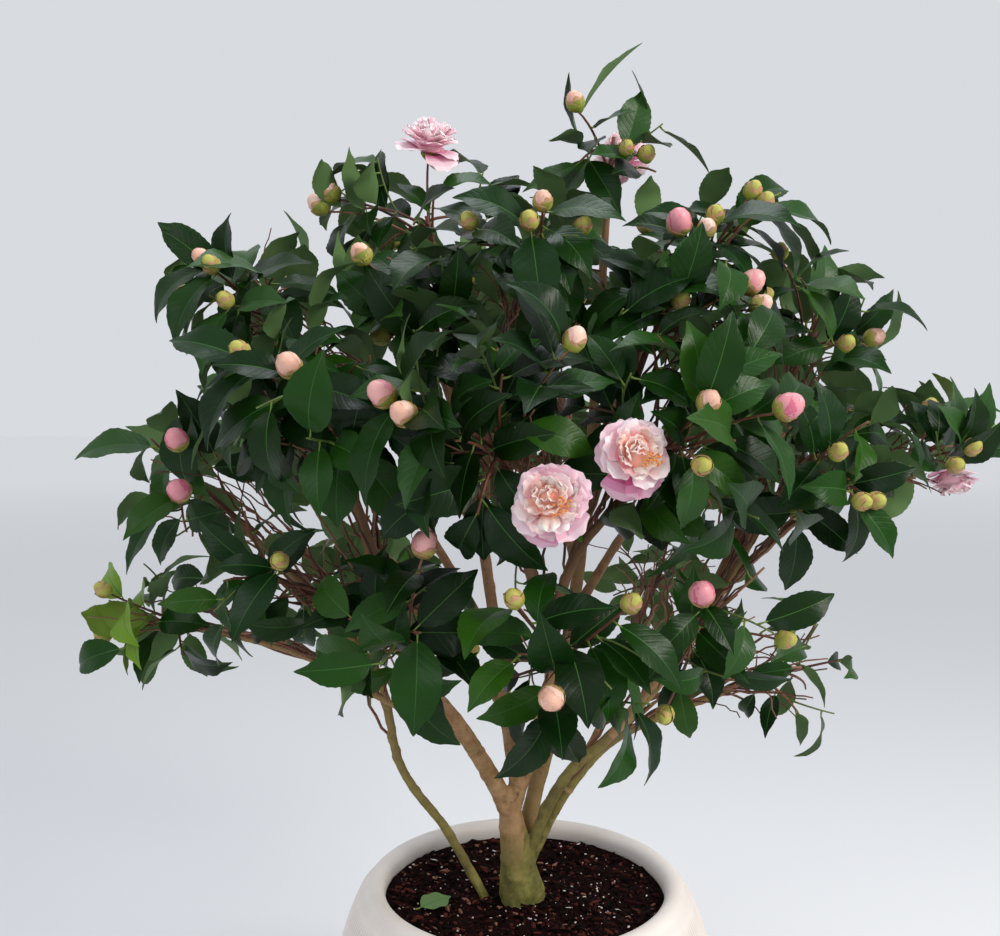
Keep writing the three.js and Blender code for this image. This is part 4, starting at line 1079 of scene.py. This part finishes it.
MIDRIB_DEPTH = 0.2
VEIN_PAIRS = 10
VEIN_SLANT = 0.42
TIP_PAST = 20  # how far a leaf may reach past the space of its mass
BLADE_PAST = 10
OPEN_PLACES = np.array(((-168, -245, 615), (-205, -170, 640)))  # no leaf grows this near to them
OPEN_RADIUS = 55
LEAF_THICKNESS = 0.55
LEAF_SPOTS = ((0.1, 0), (0.45, -0.8), (0.45, 0.8), (0.5, 0), (0.9, 0))  # shares of length and half width
MOST_SPOTS = 12000
UPRIGHT_LEAVES = (
    # bud that it stands beside, its way, a side of its blade, length and form
    (0, (0.58, 0.1, 0.8), (0.15, 1, 0), 98, (34, 0.1, 0.4, 0.35, 0.2, 0.3)),
    (1, (0.28, 0.12, 0.92), (-0.9, -0.1, 0.4), 68, (38, 0.1, 0.3, 0.2, 0.1, 0.6)),
)
FALLEN_LEAF_PLACE = (-128, -52)
YOUNG_SHARE = 0.008  # of the sprays are young, and on some masses another share of them
YOUNG_MASSES = {
    "left_low": 0.45, "right_tip": 0.15, "low_right": 0.1, "back_low_left": 0.15, "low_right_front": 0}
LEAF_GROUPS = (
    ("leaves_top", ("top_spire", "top_left", "top_mid", "top_right", "upper_front_left",
                    "upper_front_right")),
    ("leaves_left", ("upper_left", "left_front", "left_mid", "left_low", "left_low_front", "low_left_front")),
    ("leaves_right", ("upper_right", "right_front", "right_mid", "right_tip", "low_right", "low_right_front",
                      "centre_front", "low_front")),
    ("leaves_back", ("back_left", "back_top", "back_right", "back_mid", "back_low_left", "back_low_right")),
)
SPRAY_COLOURS = ("091e04", "0d2704", "113006", "183c0a", "0a2307", "0f2c0b")
LEAF_COLOURS = (*SPRAY_COLOURS, "24470c", "29481f")  # and the newest leaves of a spray
YOUNG_COLOURS = ("64861d", "4a6f1a", "3a601b")
MIDRIB_COLOUR = "325a26"
UNDERSIDE_COLOUR = "5b7848"
YOUNG_UNDERSIDE_COLOUR = "758f38"
STALK_COLOUR = "6a8038"

leaf_share = np.linspace(0, 1, LEAF_ROWS)
leaf_half = leaf_share ** 0.8 * (1 - leaf_share) ** 1.06
leaf_half = leaf_half / leaf_half.max() * (1 - 0.3 * np.exp(-((leaf_share - 0.87) / 0.09) ** 2))
leaf_half[1:-1] *= 1 + LEAF_TEETH * (2 * (np.arange(1, LEAF_ROWS - 1) % 2) - 1)
leaf_half = np.maximum(leaf_half, np.where(leaf_share < 0.5, 0.05, 0.012))


def leaf_faces():
    """The faces of a blade of rows of seven points: six across its top, from rim to rim, and one below."""
    quads, zones = [], []
    for row in range(LEAF_ROWS - 1):
        here, there = 7 * row, 7 * row + 7
        for left in range(5):
            quads.append((here + left, there + left, there + left + 1, here + left + 1))
            zones.append(1 if left == 2 else 0)
        for left, right in ((0, 6), (6, 5)):
            quads.append((here + left, here + right, there + right, there + left))
            zones.append(2)
    last = 7 * (LEAF_ROWS - 1)
    ends = list(range(7)) + [last + i for i in range(6, -1, -1)]
    corners = np.concatenate([np.array(quads).ravel(), ends])
    return (corners, np.array([4] * len(quads) + [7, 7])), np.array(zones + [2, 2])


LEAF_FACES, LEAF_ZONES = leaf_faces()
LEAF_MARKS = np.tile((1, 0, 0, 0, 0, 2, 0), LEAF_ROWS)
LEAF_ACROSS = np.array((-1, -0.52, 0, 0, 0.52, 1))
LEAF_PLACES = np.stack([
    np.repeat(leaf_share, 7), np.tile((0, 0.24, 0.48, 0.52, 0.76, 1, 0.5), LEAF_ROWS)], axis=1)


def leaf_points(base, along, face, length, form):
    """A blade's points. form holds its width, first pitch, bend, fold, twist and wave."""
    width, pitch_from, bend, fold, twist, wave = form
    side = np.cross(face, along)
    pitch = pitch_from - bend * leaf_share
    between = (pitch[1:] + pitch[:-1]) / 2
    step = np.diff(leaf_share) * length
    forward = np.concatenate([[0], np.cumsum(np.cos(between) * step)])[:, None]
    rise = np.concatenate([[0], np.cumsum(np.sin(between) * step)])[:, None]
    middle = base + along * forward + face * rise
    normal = face * np.cos(pitch)[:, None] - along * np.sin(pitch)[:, None]
    turn = (twist * leaf_share)[:, None]
    across, above = side * np.cos(turn) + normal * np.sin(turn), normal * np.cos(turn) - side * np.sin(turn)
    half = leaf_half * width / 2
    out = LEAF_ACROSS * half[:, None]
    rib = np.minimum(MIDRIB_HALF * (1.25 - leaf_share), 0.3 * half)
    out[:, 2], out[:, 3] = -rib, rib
    size = np.abs(LEAF_ACROSS)
    lift = np.abs(out) * math.tan(fold) * (1 - 0.35 * size)
    ripple = np.sin(2 * math.pi * (2.2 * leaf_share[:, None] + wave) + 1.7 * (LEAF_ACROSS > 0))
    lift += 0.075 * half[:, None] * ripple * size ** 2
    lift[:, 2:4] -= MIDRIB_DEPTH
    top = middle[:, None] + across[:, None] * out[..., None] + above[:, None] * lift[..., None]
    below = middle - above * (LEAF_THICKNESS * (1.9 - leaf_share)[:, None])
    return np.concatenate([top, below[:, None]], axis=1).reshape(-1, 3)


def leaf_aims(tangent, turns, outward, from_heart, droop):
    """Where a leaf at one place on a shoot points, and where its upper face looks, at each turn."""
    upright = np.array((0, 0, 1.0))
    across = unit(np.cross(upright if abs(tangent[2]) < 0.9 else (1, 0, 0), tangent))
    along = ways_round(turns, across, np.cross(tangent, across))
    along = unit(along + 0.35 * tangent - droop * upright)
    face = 0.5 * outward + 0.5 * upright + unit(from_heart + 0.5 * along)
    face = face - along * (face * along).sum(axis=1, keepdims=True)
    level = np.linalg.norm(face, axis=1) < 0.2
    face[level] = -np.cross(np.cross(upright, along[level]), along[level])
    return along, unit(face)


spots = np.full((MOST_SPOTS, 3), 1e6)  # places that leaves take up, far off until there is a leaf
leaves = []


def grow_leaf(mass, shoot, n):
    """Of the turns that keep the leaf in the mass's space, takes the one furthest from other leaves."""
    random = seeded(shoot.seed + 7919 * (n + 1))
    reach = shoot.line.length
    share = 1 - 4 / reach - n * min(LEAF_SPACING / reach, 0.8 / shoot.leaves)
    slim = SMALL_LEAVES.get(mass.name, 1)
    size = LEAF_LENGTH * (LEAF_LENGTH_SHARES[0] + LEAF_LENGTH_SHARES[1] * random()) * slim
    droop = 0.05 + 0.35 * random() + 0.25 * soft_step(mass.centre[2], 900, 700)
    at = shoot.line.at(share)
    outward = outward_of(at)
    if np.linalg.norm(outward) < BARE_SHARE or seeded(shoot.seed + 53 * n)() > mass.fullness:
        return
    again = np.arange(LEAF_TRIES)
    turns = shoot.turn + n * GOLDEN_ANGLE + again * LEAF_TURN
    from_heart = (at - mass.centre) / LEAF_LENGTH
    along, face = leaf_aims(shoot.line.way(share), turns, unit(outward), from_heart, droop)
    lengths = (size * (1 - 0.012 * again))[:, None]
    base = at + along * STALK_LENGTH
    side = np.cross(face, along)
    corners = np.stack([base + lengths * (
        along * far + side * out * LEAF_WIDTH_SHARE / 2 + face * (0.3 * far - 0.38 * far * far))
        for far, out in LEAF_SPOTS], axis=1)
    fits = inside(mass, corners[:, :4].reshape(-1, 3), BLADE_PAST).reshape(-1, 4).all(axis=1)
    fits &= inside(mass, corners[:, 4], TIP_PAST) & (room_beside_limbs(corners).min(axis=1) > LEAF_LIMB_GAP)
    fits &= np.linalg.norm(corners[..., None, :] - OPEN_PLACES, axis=3).min(axis=(1, 2)) > OPEN_RADIUS
    if mass.blossom is not None:
        away = np.linalg.norm(corners - mass.blossom, axis=2).min(axis=1)
        ahead = ((corners - mass.blossom) @ mass.faces).max(axis=1)
        fits &= (away > BLOSSOM_RADIUS + LEAF_BLOSSOM_GAP) & ((ahead < 4) | (away > BLOSSOM_VIEW))
    if not fits.any():
        return
    taken = len(LEAF_SPOTS) * len(leaves)
    free = np.linalg.norm(spots[:taken + 1] - corners[..., None, :], axis=3).min(axis=(1, 2))
    best = np.where(fits, free, -1).argmax()
    spots[taken:taken + len(LEAF_SPOTS)] = corners[best]
    stiff = min(1, (1300 - mass.centre[2]) / 200)  # the leaves of the topmost sprays hardly hang
    broad = LEAF_WIDTH_SHARES[0] + LEAF_WIDTH_SHARES[1] * random()
    form = (lengths[best, 0] * slim * LEAF_WIDTH_SHARE * broad, 0.3 + 0.25 * random(),
            (0.7 + 0.75 * random()) * stiff, 0.15 + 0.3 * random(), 0.7 * (random() - 0.5), random())
    leaves.append((mass, shoot, n, at, along[best], face[best], lengths[best, 0], form))


for n in range(LEAVES_PER_SHOOT):
    for mass in masses:
        for shoot in mass.shoots:
            if n < shoot.leaves:
                grow_leaf(mass, shoot, n)

# The two newest leaves on top of the plant stand upright beside their buds.
for number, way, face_from, length, form in UPRIGHT_LEAVES:
    mass, way = mass_named["top_spire"], unit(np.array(way))
    shoot = next(shoot for shoot in mass.shoots if shoot.seed == mass.index * 1000 + PLACED_SEED + number)
    leaves.append((mass, shoot, 9, shoot.line.at(0.95), way, unit(np.cross(way, face_from)), length, form))

# A glossy waxy skin over a dark blade: broad soft highlights, broken by the side veins. The pores are
# too fine to show and are drawn at 4 mm.
leaf_finishes = []
leaf_looks = [(f"leaf_blade_{i + 1}", colour, 0.34) for i, colour in enumerate(LEAF_COLOURS)]
leaf_looks += [(f"young_leaf_blade_{i + 1}", colour, 0.38) for i, colour in enumerate(YOUNG_COLOURS)]
leaf_looks += [("leaf_midrib", MIDRIB_COLOUR, 0.42), ("leaf_underside", UNDERSIDE_COLOUR, 0.62),
               ("young_leaf_underside", YOUNG_UNDERSIDE_COLOUR, 0.58), ("leaf_stalk", STALK_COLOUR, 0.5)]
MIDRIB, UNDERSIDE, YOUNG_UNDERSIDE, STALK = range(len(LEAF_COLOURS) + len(YOUNG_COLOURS), len(leaf_looks))
for name, colour, roughness in leaf_looks:
    skin = new_finish(name, colour, roughness, Specular_IOR_Level=0.18)
    if "blade" in name:
        # The side veins leave the midrib at about fifty degrees and fade before the rim.
        spot = add_node(skin, "UVMap", {}, uv_map="blade")
        split = add_node(skin, "SeparateXYZ", {"Vector": spot.outputs["UV"]})
        vein = split.outputs["Y"]
        for operation, *others in (("SUBTRACT", 0.5), ("ABSOLUTE",),
                                   ("MULTIPLY_ADD", -VEIN_SLANT, split.outputs["X"]),
                                   ("MULTIPLY", 2 * math.pi * VEIN_PAIRS), ("COSINE",)):
            inputs = dict(enumerate((vein, *others)))
            vein = add_node(skin, "Math", inputs, operation=operation).outputs[0]
        vein = add_node(skin, "MapRange", {
            "Value": vein, "From Min": 0.2, "From Max": 1.0, "To Min": 0.5, "To Max": 0.0})
        pores = grain(skin, 4, 3.0, 0.35, 0.5, vein.outputs["Result"])
        sheen = add_node(skin, "MapRange", {
            "Value": pores, "To Min": roughness - 0.07, "To Max": roughness + 0.09})
        shade(skin, Roughness=sheen.outputs["Result"])
    leaf_finishes.append(skin)


def tint_of(mass, shoot, n):
    """A spray has one tint, and its newest leaves are a little lighter."""
    draw = seeded(shoot.seed * 7 + 5)
    if draw() < YOUNG_MASSES.get(mass.name, YOUNG_SHARE):
        return len(LEAF_COLOURS) + int(draw() * len(YOUNG_COLOURS))
    spray = int(draw() * len(SPRAY_COLOURS))
    leaf = seeded(shoot.seed * 31 + n)()
    newest = len(SPRAY_COLOURS)
    return newest if leaf > 0.93 else newest + 1 if leaf > 0.86 else (spray + (leaf > 0.6)) % newest


def add_leaf(shapes, at, along, face, length, form, tint):
    """One leaf: its blade and the stalk from its place on the twig."""
    base = at + along * STALK_LENGTH
    under = YOUNG_UNDERSIDE if tint >= len(LEAF_COLOURS) else UNDERSIDE
    finishes = np.array((tint, MIDRIB, under))[LEAF_ZONES]
    shapes.add(leaf_points(base, along, face, length, form), LEAF_FACES, finishes, LEAF_MARKS, LEAF_PLACES)
    stalk = np.array([at, at + along * STALK_LENGTH * 0.55 - face * 0.5, base + along * 2.5 + face * 0.6])
    add_skin(shapes, rings_along(stalk, STALK_RADII, 4), STALK)


for group_name, members in LEAF_GROUPS:
    leaf_shapes = Gathered()
    for mass, shoot, n, at, along, face, length, form in leaves:
        if mass.name in members:
            add_leaf(leaf_shapes, at, along, face, length, form, tint_of(mass, shoot, n))
    group = leaf_shapes.joined(group_name, leaf_finishes)
    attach(group, "root")
    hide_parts(*["foliage_" + member for member in members])

# One leaf has dropped and lies on the soil in front of the trunk, with its underside up.
fallen_shapes = Gathered()
fallen_at = np.array((*FALLEN_LEAF_PLACE, soil_level(*FALLEN_LEAF_PLACE) + 4.0))
add_leaf(fallen_shapes, fallen_at, unit(np.array((0.8, 0.6, 0.03))), unit(np.array((-0.05, -0.1, 1))), 42,
         (34, 0.1, 0.2, 0.12, 0.1, 0.4), UNDERSIDE)
fallen = fallen_shapes.joined("fallen_leaf", leaf_finishes)
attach(fallen, "root")

# Flower buds
# Plump pointed buds at the ends of shoots. Overlapping olive scales hold the petals, whose rolled pink
# or peach tip shows as the bud swells.
BUD_LENGTHS = (19, 31)
BUD_WIDTH_SHARE = 0.84
BUD_AROUND = 14
BUD_HEIGHTS = (0.02, 0.16, 0.32, 0.48, 0.64, 0.78, 0.88, 0.95, 0.997)  # of the rolled heart, as shares
OPENS_AT = 0.2  # a bud that has swollen less shows no petals
SHELL_THICKNESS = 0.35
SHELL_ROWS, SHELL_COLUMNS = 5, 6
SCALES = 6
SCALE_TURN = 2.09  # radians from scale to scale, a third of a turn
SCALE_HALF = 1.12
SCALE_TOPS = (1.0, 0.78)  # of the inner and of the outer scales, as shares of the bud's height
SCALE_DRAWBACK = (0.42, 0.32)  # how far they are drawn back when it opens
SCALE_STAND = (0.75, 1.15)  # how far they stand off it
BUD_PETALS = 4
BUD_PETAL_TURN = 1.9
BUD_PETAL_HALF = 1.15
BUD_PETAL_LEVELS = (0.2, 0.97, 0.035)  # foot, top, and how much lower each next one ends
BUD_PETAL_STAND = 0.16
SCALE_COLOURS = ("909638", "a8a44c", "7d8532", "8b7a40", "ae9058", "b58a66")  # four olives and two tan tips
OLIVES = 4
BUD_PETAL_COLOURS = ("dcaa95", "e3bfac", "e2a6a2", "dc8f98", "d06882")


def shell_faces(rows, columns):
    """The faces of a thin closed shell: a grid of points above, the same below, and a rim."""
    top = np.arange(rows * columns).reshape(rows, columns)
    low = top + rows * columns
    quads = [np.stack([top[:-1, :-1], top[1:, :-1], top[1:, 1:], top[:-1, 1:]], -1).reshape(-1, 4),
             np.stack([low[:-1, :-1], low[:-1, 1:], low[1:, 1:], low[1:, :-1]], -1).reshape(-1, 4)]
    for edge, under in ((top[0], low[0]), (top[:, -1], low[:, -1]), (top[-1, ::-1], low[-1, ::-1]),
                        (top[::-1, 0], low[::-1, 0])):
        quads.append(np.stack([edge[:-1], edge[1:], under[1:], under[:-1]], -1))
    quads = np.concatenate(quads)
    return quads.ravel(), np.full(len(quads), 4)


def add_shell(shapes, grid, thickness, finish_of_row, faces):
    """A thin shell whose upper face is a grid of points. Each row of the grid has its own finish."""
    down, over = np.gradient(grid, axis=0), np.gradient(grid, axis=1)
    normal = np.cross(down, over)
    normal /= np.maximum(np.linalg.norm(normal, axis=2, keepdims=True), 1e-6)
    points = np.concatenate([grid.reshape(-1, 3), (grid - normal * thickness).reshape(-1, 3)])
    rows, columns = grid.shape[:2]
    zones = np.repeat(finish_of_row[:rows - 1], columns - 1)
    rim = np.full(len(faces[1]) - 2 * len(zones), finish_of_row[-1])
    border = np.ones((rows, columns), int)
    border[1:-1, 1:-1] = 0
    marks = border.ravel()
    shapes.add(points, faces, np.concatenate([zones, zones, rim]), np.concatenate([marks, 2 * marks]))


def frame_of(way):
    """Two directions across a way, at right angles."""
    side = unit(np.cross(way, (0.2, 0.3, 0.93) if abs(way[2]) < 0.9 else (1, 0, 0)))
    return side, np.cross(way, side)


def bud_radius(height):
    """A bud's radius at a share of its height: full below the middle, pointed at the tip."""
    return np.sqrt(np.maximum(0, 1 - np.abs((height - 0.45) / (0.45 + 0.1 * (height > 0.45))) ** 2.1))


SHELL_FACES = shell_faces(SHELL_ROWS, SHELL_COLUMNS)


def add_bud_shell(shapes, base, way, size, turn, half, levels, stand, finish):
    """A scale or petal that lies on the bud. size is the bud's length and radius."""
    across, up = np.linspace(-1, 1, SHELL_COLUMNS), np.linspace(0, 1, SHELL_ROWS)[:, None]
    height = levels[0] + (levels[1] - levels[0]) * up * (1 - 0.07 * across ** 2)
    angle = turn + half * np.sqrt(np.maximum(0.03, 1 - (0.97 * up) ** 3)) * across
    out = size[1] * bud_radius(height) + stand * (1 + 0.35 * across)
    grid = base + way * (size[0] * height)[..., None] + out[..., None] * ways_round(angle, *frame_of(way))
    add_shell(shapes, grid, SHELL_THICKNESS, finish, SHELL_FACES)


def add_bud(shapes, base, way, swollen, seed):
    """A bud: its rolled heart, then petals if it has swollen enough, then two rings of scales."""
    random = seeded(seed)
    length = BUD_LENGTHS[0] + (BUD_LENGTHS[1] - BUD_LENGTHS[0]) * (0.2 * random() + 0.8 * swollen)
    size = (length, length * BUD_WIDTH_SHARE / 2 - 0.9)
    first = len(SCALE_COLOURS)
    hue = 3 if swollen > 0.87 else 2 if swollen > 0.77 else int(2 * random())
    out = ways_round(np.arange(BUD_AROUND) * 2 * math.pi / BUD_AROUND, *frame_of(way))
    rings = [base + way * length * height + 1.01 * size[1] * bud_radius(height) * out
             for height in BUD_HEIGHTS]
    add_skin(shapes, np.array(rings), first + hue if swollen > OPENS_AT else 1)
    foot, top, lower = BUD_PETAL_LEVELS
    for number in range(BUD_PETALS if swollen > OPENS_AT else 0):
        petal = first + (hue if number % 2 else (hue + 1) % len(BUD_PETAL_COLOURS))
        add_bud_shell(shapes, base, way, size, BUD_PETAL_TURN * number + 0.6 * random(), BUD_PETAL_HALF,
                      (foot, top - lower * number), BUD_PETAL_STAND * number, np.full(SHELL_ROWS, petal))
    for number in range(SCALES):
        outer = number >= SCALES // 2
        top = SCALE_TOPS[outer] - swollen * SCALE_DRAWBACK[outer] - 0.12 * random()
        olive, brown = (number + int(2 * random())) % OLIVES, OLIVES + number % 2
        turn = number * SCALE_TURN + 1.05 * outer + 0.3 * random()
        add_bud_shell(shapes, base, way, size, turn, SCALE_HALF, (0.01, max(top, 0.24)), SCALE_STAND[outer],
                      np.array([olive] * 3 + [brown] * 2))


# Scales are leathery with a bloom of fine hairs. Petal tips are smooth and waxy. Hairs and pores are
# too fine to show and are drawn at 2.5 mm.
bud_finishes = []
for number, colour in enumerate(SCALE_COLOURS + BUD_PETAL_COLOURS):
    kind, roughness = ("bud_scale", 0.55) if number < len(SCALE_COLOURS) else ("bud_petal", 0.42)
    bud_skin = new_finish(f"{kind}_{number + 1}", colour, roughness)
    grain(bud_skin, 2.5, 3.0, 0.3, 0.4)
    bud_finishes.append(bud_skin)
bud_shapes = Gathered()
for mass in masses:
    for shoot in mass.shoots:
        if shoot.bud is not None:
            add_bud(bud_shapes, shoot.line.points[-1] - shoot.bud, shoot.bud, shoot.swollen, shoot.seed + 77)
buds = bud_shapes.joined("flower_buds", bud_finishes)
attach(buds, "root")

# Blossoms
# Open double blossoms, each on its own twig: two rings of broad notched petals, pale pink and deeper
# towards their roots, round a crowded heart of small crumpled salmon petals with orange stamens.
PETAL_RINGS = (
    # petals, length, width, pitch at the root and at the rim, radius and height of the root, row of tints
    (5, 35, 43, 0.35, -0.6, 4, -9, 0),
    (5, 33, 38, 0.6, -0.15, 4, -7, 0),
    (6, 31, 31, 0.95, 0.3, 5, -4, 1),
    (6, 29, 27, 1.15, 0.55, 6, -2, 2),
    (7, 27, 22, 1.3, 0.8, 6, 0, 3),
    (5, 26, 20, 1.45, 1.05, 4, 1, 3),
    (4, 26, 16, 1.55, 1.3, 2, 2, 3),
)
CLOSED_RINGS = 4  # a blossom that is hardly open shows only these
LOPSIDED = 0.3  # the petals of one side stand up more
TINTS = 5  # in each row, from the root to the rim
PETAL_TINTS = (
    ("d2558a", "e084a8", "ecabc0", "f3c3d0", "f6d2da"),
    ("d9718f", "e79fb2", "f0bcc7", "f6d2d8", "fae0e4"),
    ("db6678", "e6949a", "efb2b3", "f5cbc9", "f8dcd9"),
    ("dc6f5c", "eaa28e", "f2c0b0", "f8d8cc", "fbe8e0"),
)
HEART_RADII = ((12, -4), (16, 3), (15, 10), (11, 16), (5, 20))  # radius and height of the dome in the middle
CALYX_RADII = (2.2, 7, 9.5, 6)
STAMEN_THREAD_RADII = (0.45, 0.4, 0.35)
STAMEN_HEAD_RADII = (0.9, 1.3, 0.7)
STAMEN_LENGTHS = (24, 4)
STAMEN_FOOT = (16, 3)  # how far out and how high the stamens start
STAMEN_COLOURS = ("dfae4c", "d4761f")
PETAL_ROWS, PETAL_COLUMNS = 10, 9
PETAL_THICKNESS = 0.35
PETAL_FACES = shell_faces(PETAL_ROWS, PETAL_COLUMNS)
petal_up = np.linspace(0, 1, PETAL_ROWS)[:, None]
petal_over = np.linspace(-1, 1, PETAL_COLUMNS)


def petal_grid(root, out_way, side, way, length, width, pitch_from, pitch_to, random, crumple):
    """A petal's points: narrow at its root, broad and notched at its rim, cupped and ruffled."""
    pitch = pitch_from + (pitch_to - pitch_from) * petal_up[:, 0]
    step = length / (PETAL_ROWS - 1)
    forward = np.concatenate([[0], np.cumsum(np.cos(pitch[1:]) * step)])
    rise = np.concatenate([[0], np.cumsum(np.sin(pitch[1:]) * step)])
    rounding = np.sqrt(1 - 0.72 * np.maximum(0, (petal_up - 0.55) / 0.45) ** 3)
    half = width / 2 * (0.2 + 0.8 * petal_up ** 0.75) * rounding
    notch = -0.05 * width * petal_up ** 5 * np.exp(-(petal_over / 0.3) ** 2)
    shoulder = -0.16 * width * petal_up ** 3 * petal_over ** 2
    normal = way * np.cos(pitch)[:, None] - out_way * np.sin(pitch)[:, None]
    tangent = out_way * np.cos(pitch)[:, None] + way * np.sin(pitch)[:, None]
    phase, beats = FULL_TURN * random(), 1.4 + 1.2 * random()
    cup = 0.22 * half * petal_over ** 2 * (1 - 0.6 * petal_up)
    waves = np.sin(beats * math.pi * petal_over + phase)
    waves = waves + 0.3 * np.sin(4.4 * petal_over + 2 * phase + 3 * petal_up)
    ruffle = crumple * petal_up ** 1.5 * waves
    middle = root + out_way * forward[:, None] + way * rise[:, None]
    return (middle[:, None] + side * (half * petal_over)[..., None]
            + normal[:, None] * (cup + ruffle)[..., None] + tangent[:, None] * (notch + shoulder)[..., None])


def add_blossom(shapes, place, way, openness, stamens, seed):
    """A blossom: rings of petals, a cluster of stamens if any show, a dome in the middle and a calyx."""
    random = seeded(seed)
    side, other = frame_of(way)
    lop_turn = FULL_TURN * random()
    rings = PETAL_RINGS if openness > 0.5 else PETAL_RINGS[:CLOSED_RINGS]
    for ring, (count, length, width, low, high, radius, height, tint) in enumerate(rings):
        for number in range(count):
            turn = (number + 0.5 * (ring % 2) + 0.35 * (random() - 0.5)) * 2 * math.pi / count
            out_way = math.cos(turn) * side + math.sin(turn) * other
            across = np.cross(way, out_way)
            grow = (0.9 + 0.2 * random()) * (0.82 + 0.18 * openness)
            lean = (0.42 if ring < 3 else 0.5) * (random() - 0.5) + 0.9 * max(0, 1 - openness)
            lean += LOPSIDED * math.cos(turn - lop_turn)
            crumple = (1.3 if ring < 2 else 1.5 if stamens else 2.3) * (0.6 + 0.7 * random())
            tint = tint if stamens else min(tint, 1)
            root = place + out_way * radius + way * height
            grid = petal_grid(root, out_way, -across, way, length * grow, width * grow, low + lean,
                              high + lean, random, crumple)
            steps = np.arange(PETAL_ROWS) * 6 // PETAL_ROWS - int(2.6 * random() ** 2)
            steps = np.clip(steps, 0, TINTS - 1)
            add_shell(shapes, grid, PETAL_THICKNESS, TINTS * tint + steps, PETAL_FACES)
    thread, head, calyx_skin = range(TINTS * len(PETAL_TINTS), TINTS * len(PETAL_TINTS) + 3)
    for number in range(stamens):
        turn, lean = 1.9 + 1.1 * random(), 0.25 + 0.35 * random()
        rise = unit(way + lean * (math.cos(turn) * side + math.sin(turn) * other))
        root = place + (rise - way) * STAMEN_FOOT[0] + way * STAMEN_FOOT[1]
        top = root + rise * (STAMEN_LENGTHS[0] + STAMEN_LENGTHS[1] * random())
        add_skin(shapes, rings_along(np.array([root, (root + top) / 2, top]), STAMEN_THREAD_RADII, 4), thread)
        knob = np.array([top, top + rise * 1.2, top + rise * 2.4])
        add_skin(shapes, rings_along(knob, STAMEN_HEAD_RADII, 5), head)
    heart = np.array([place + way * height for _, height in HEART_RADII])
    heart_tint = TINTS * 3 + 1 if stamens else TINTS + 2
    add_skin(shapes, rings_along(heart, [radius for radius, _ in HEART_RADII], 14), heart_tint)
    calyx = np.array([place - way * (16 - 4 * i) for i in range(4)])
    add_skin(shapes, rings_along(calyx, CALYX_RADII, 9), calyx_skin)


# Petals are thin, soft and slightly waxy, with a satin bloom and fine veins, drawn as a grain of 3 mm.
blossom_finishes = []
petal_looks = [(f"petal_{r + 1}_{s + 1}", colour, 0.5) for r, tints in enumerate(PETAL_TINTS)
               for s, colour in enumerate(tints)]
petal_looks += [("stamen_thread", STAMEN_COLOURS[0], 0.5), ("stamen_head", STAMEN_COLOURS[1], 0.7),
                ("calyx", SCALE_COLOURS[0], 0.55)]
for name, colour, roughness in petal_looks:
    petal_skin = new_finish(name, colour, roughness, Sheen_Weight=0.15, Subsurface_Weight=0.4,
                            Subsurface_Scale=0.005, Subsurface_Radius=(1.0, 0.5, 0.5))
    grain(petal_skin, 3, 3.0, 0.2, 0.4)
    blossom_finishes.append(petal_skin)
for name, (place, faces, openness, stamens) in BLOSSOMS.items():
    blossom_shapes = Gathered()
    mass = mass_named[name]
    add_blossom(blossom_shapes, mass.blossom, mass.faces, openness, stamens, 400 + mass.index)
    blossom = blossom_shapes.joined("blossom_" + name, blossom_finishes)
    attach(blossom, "root")
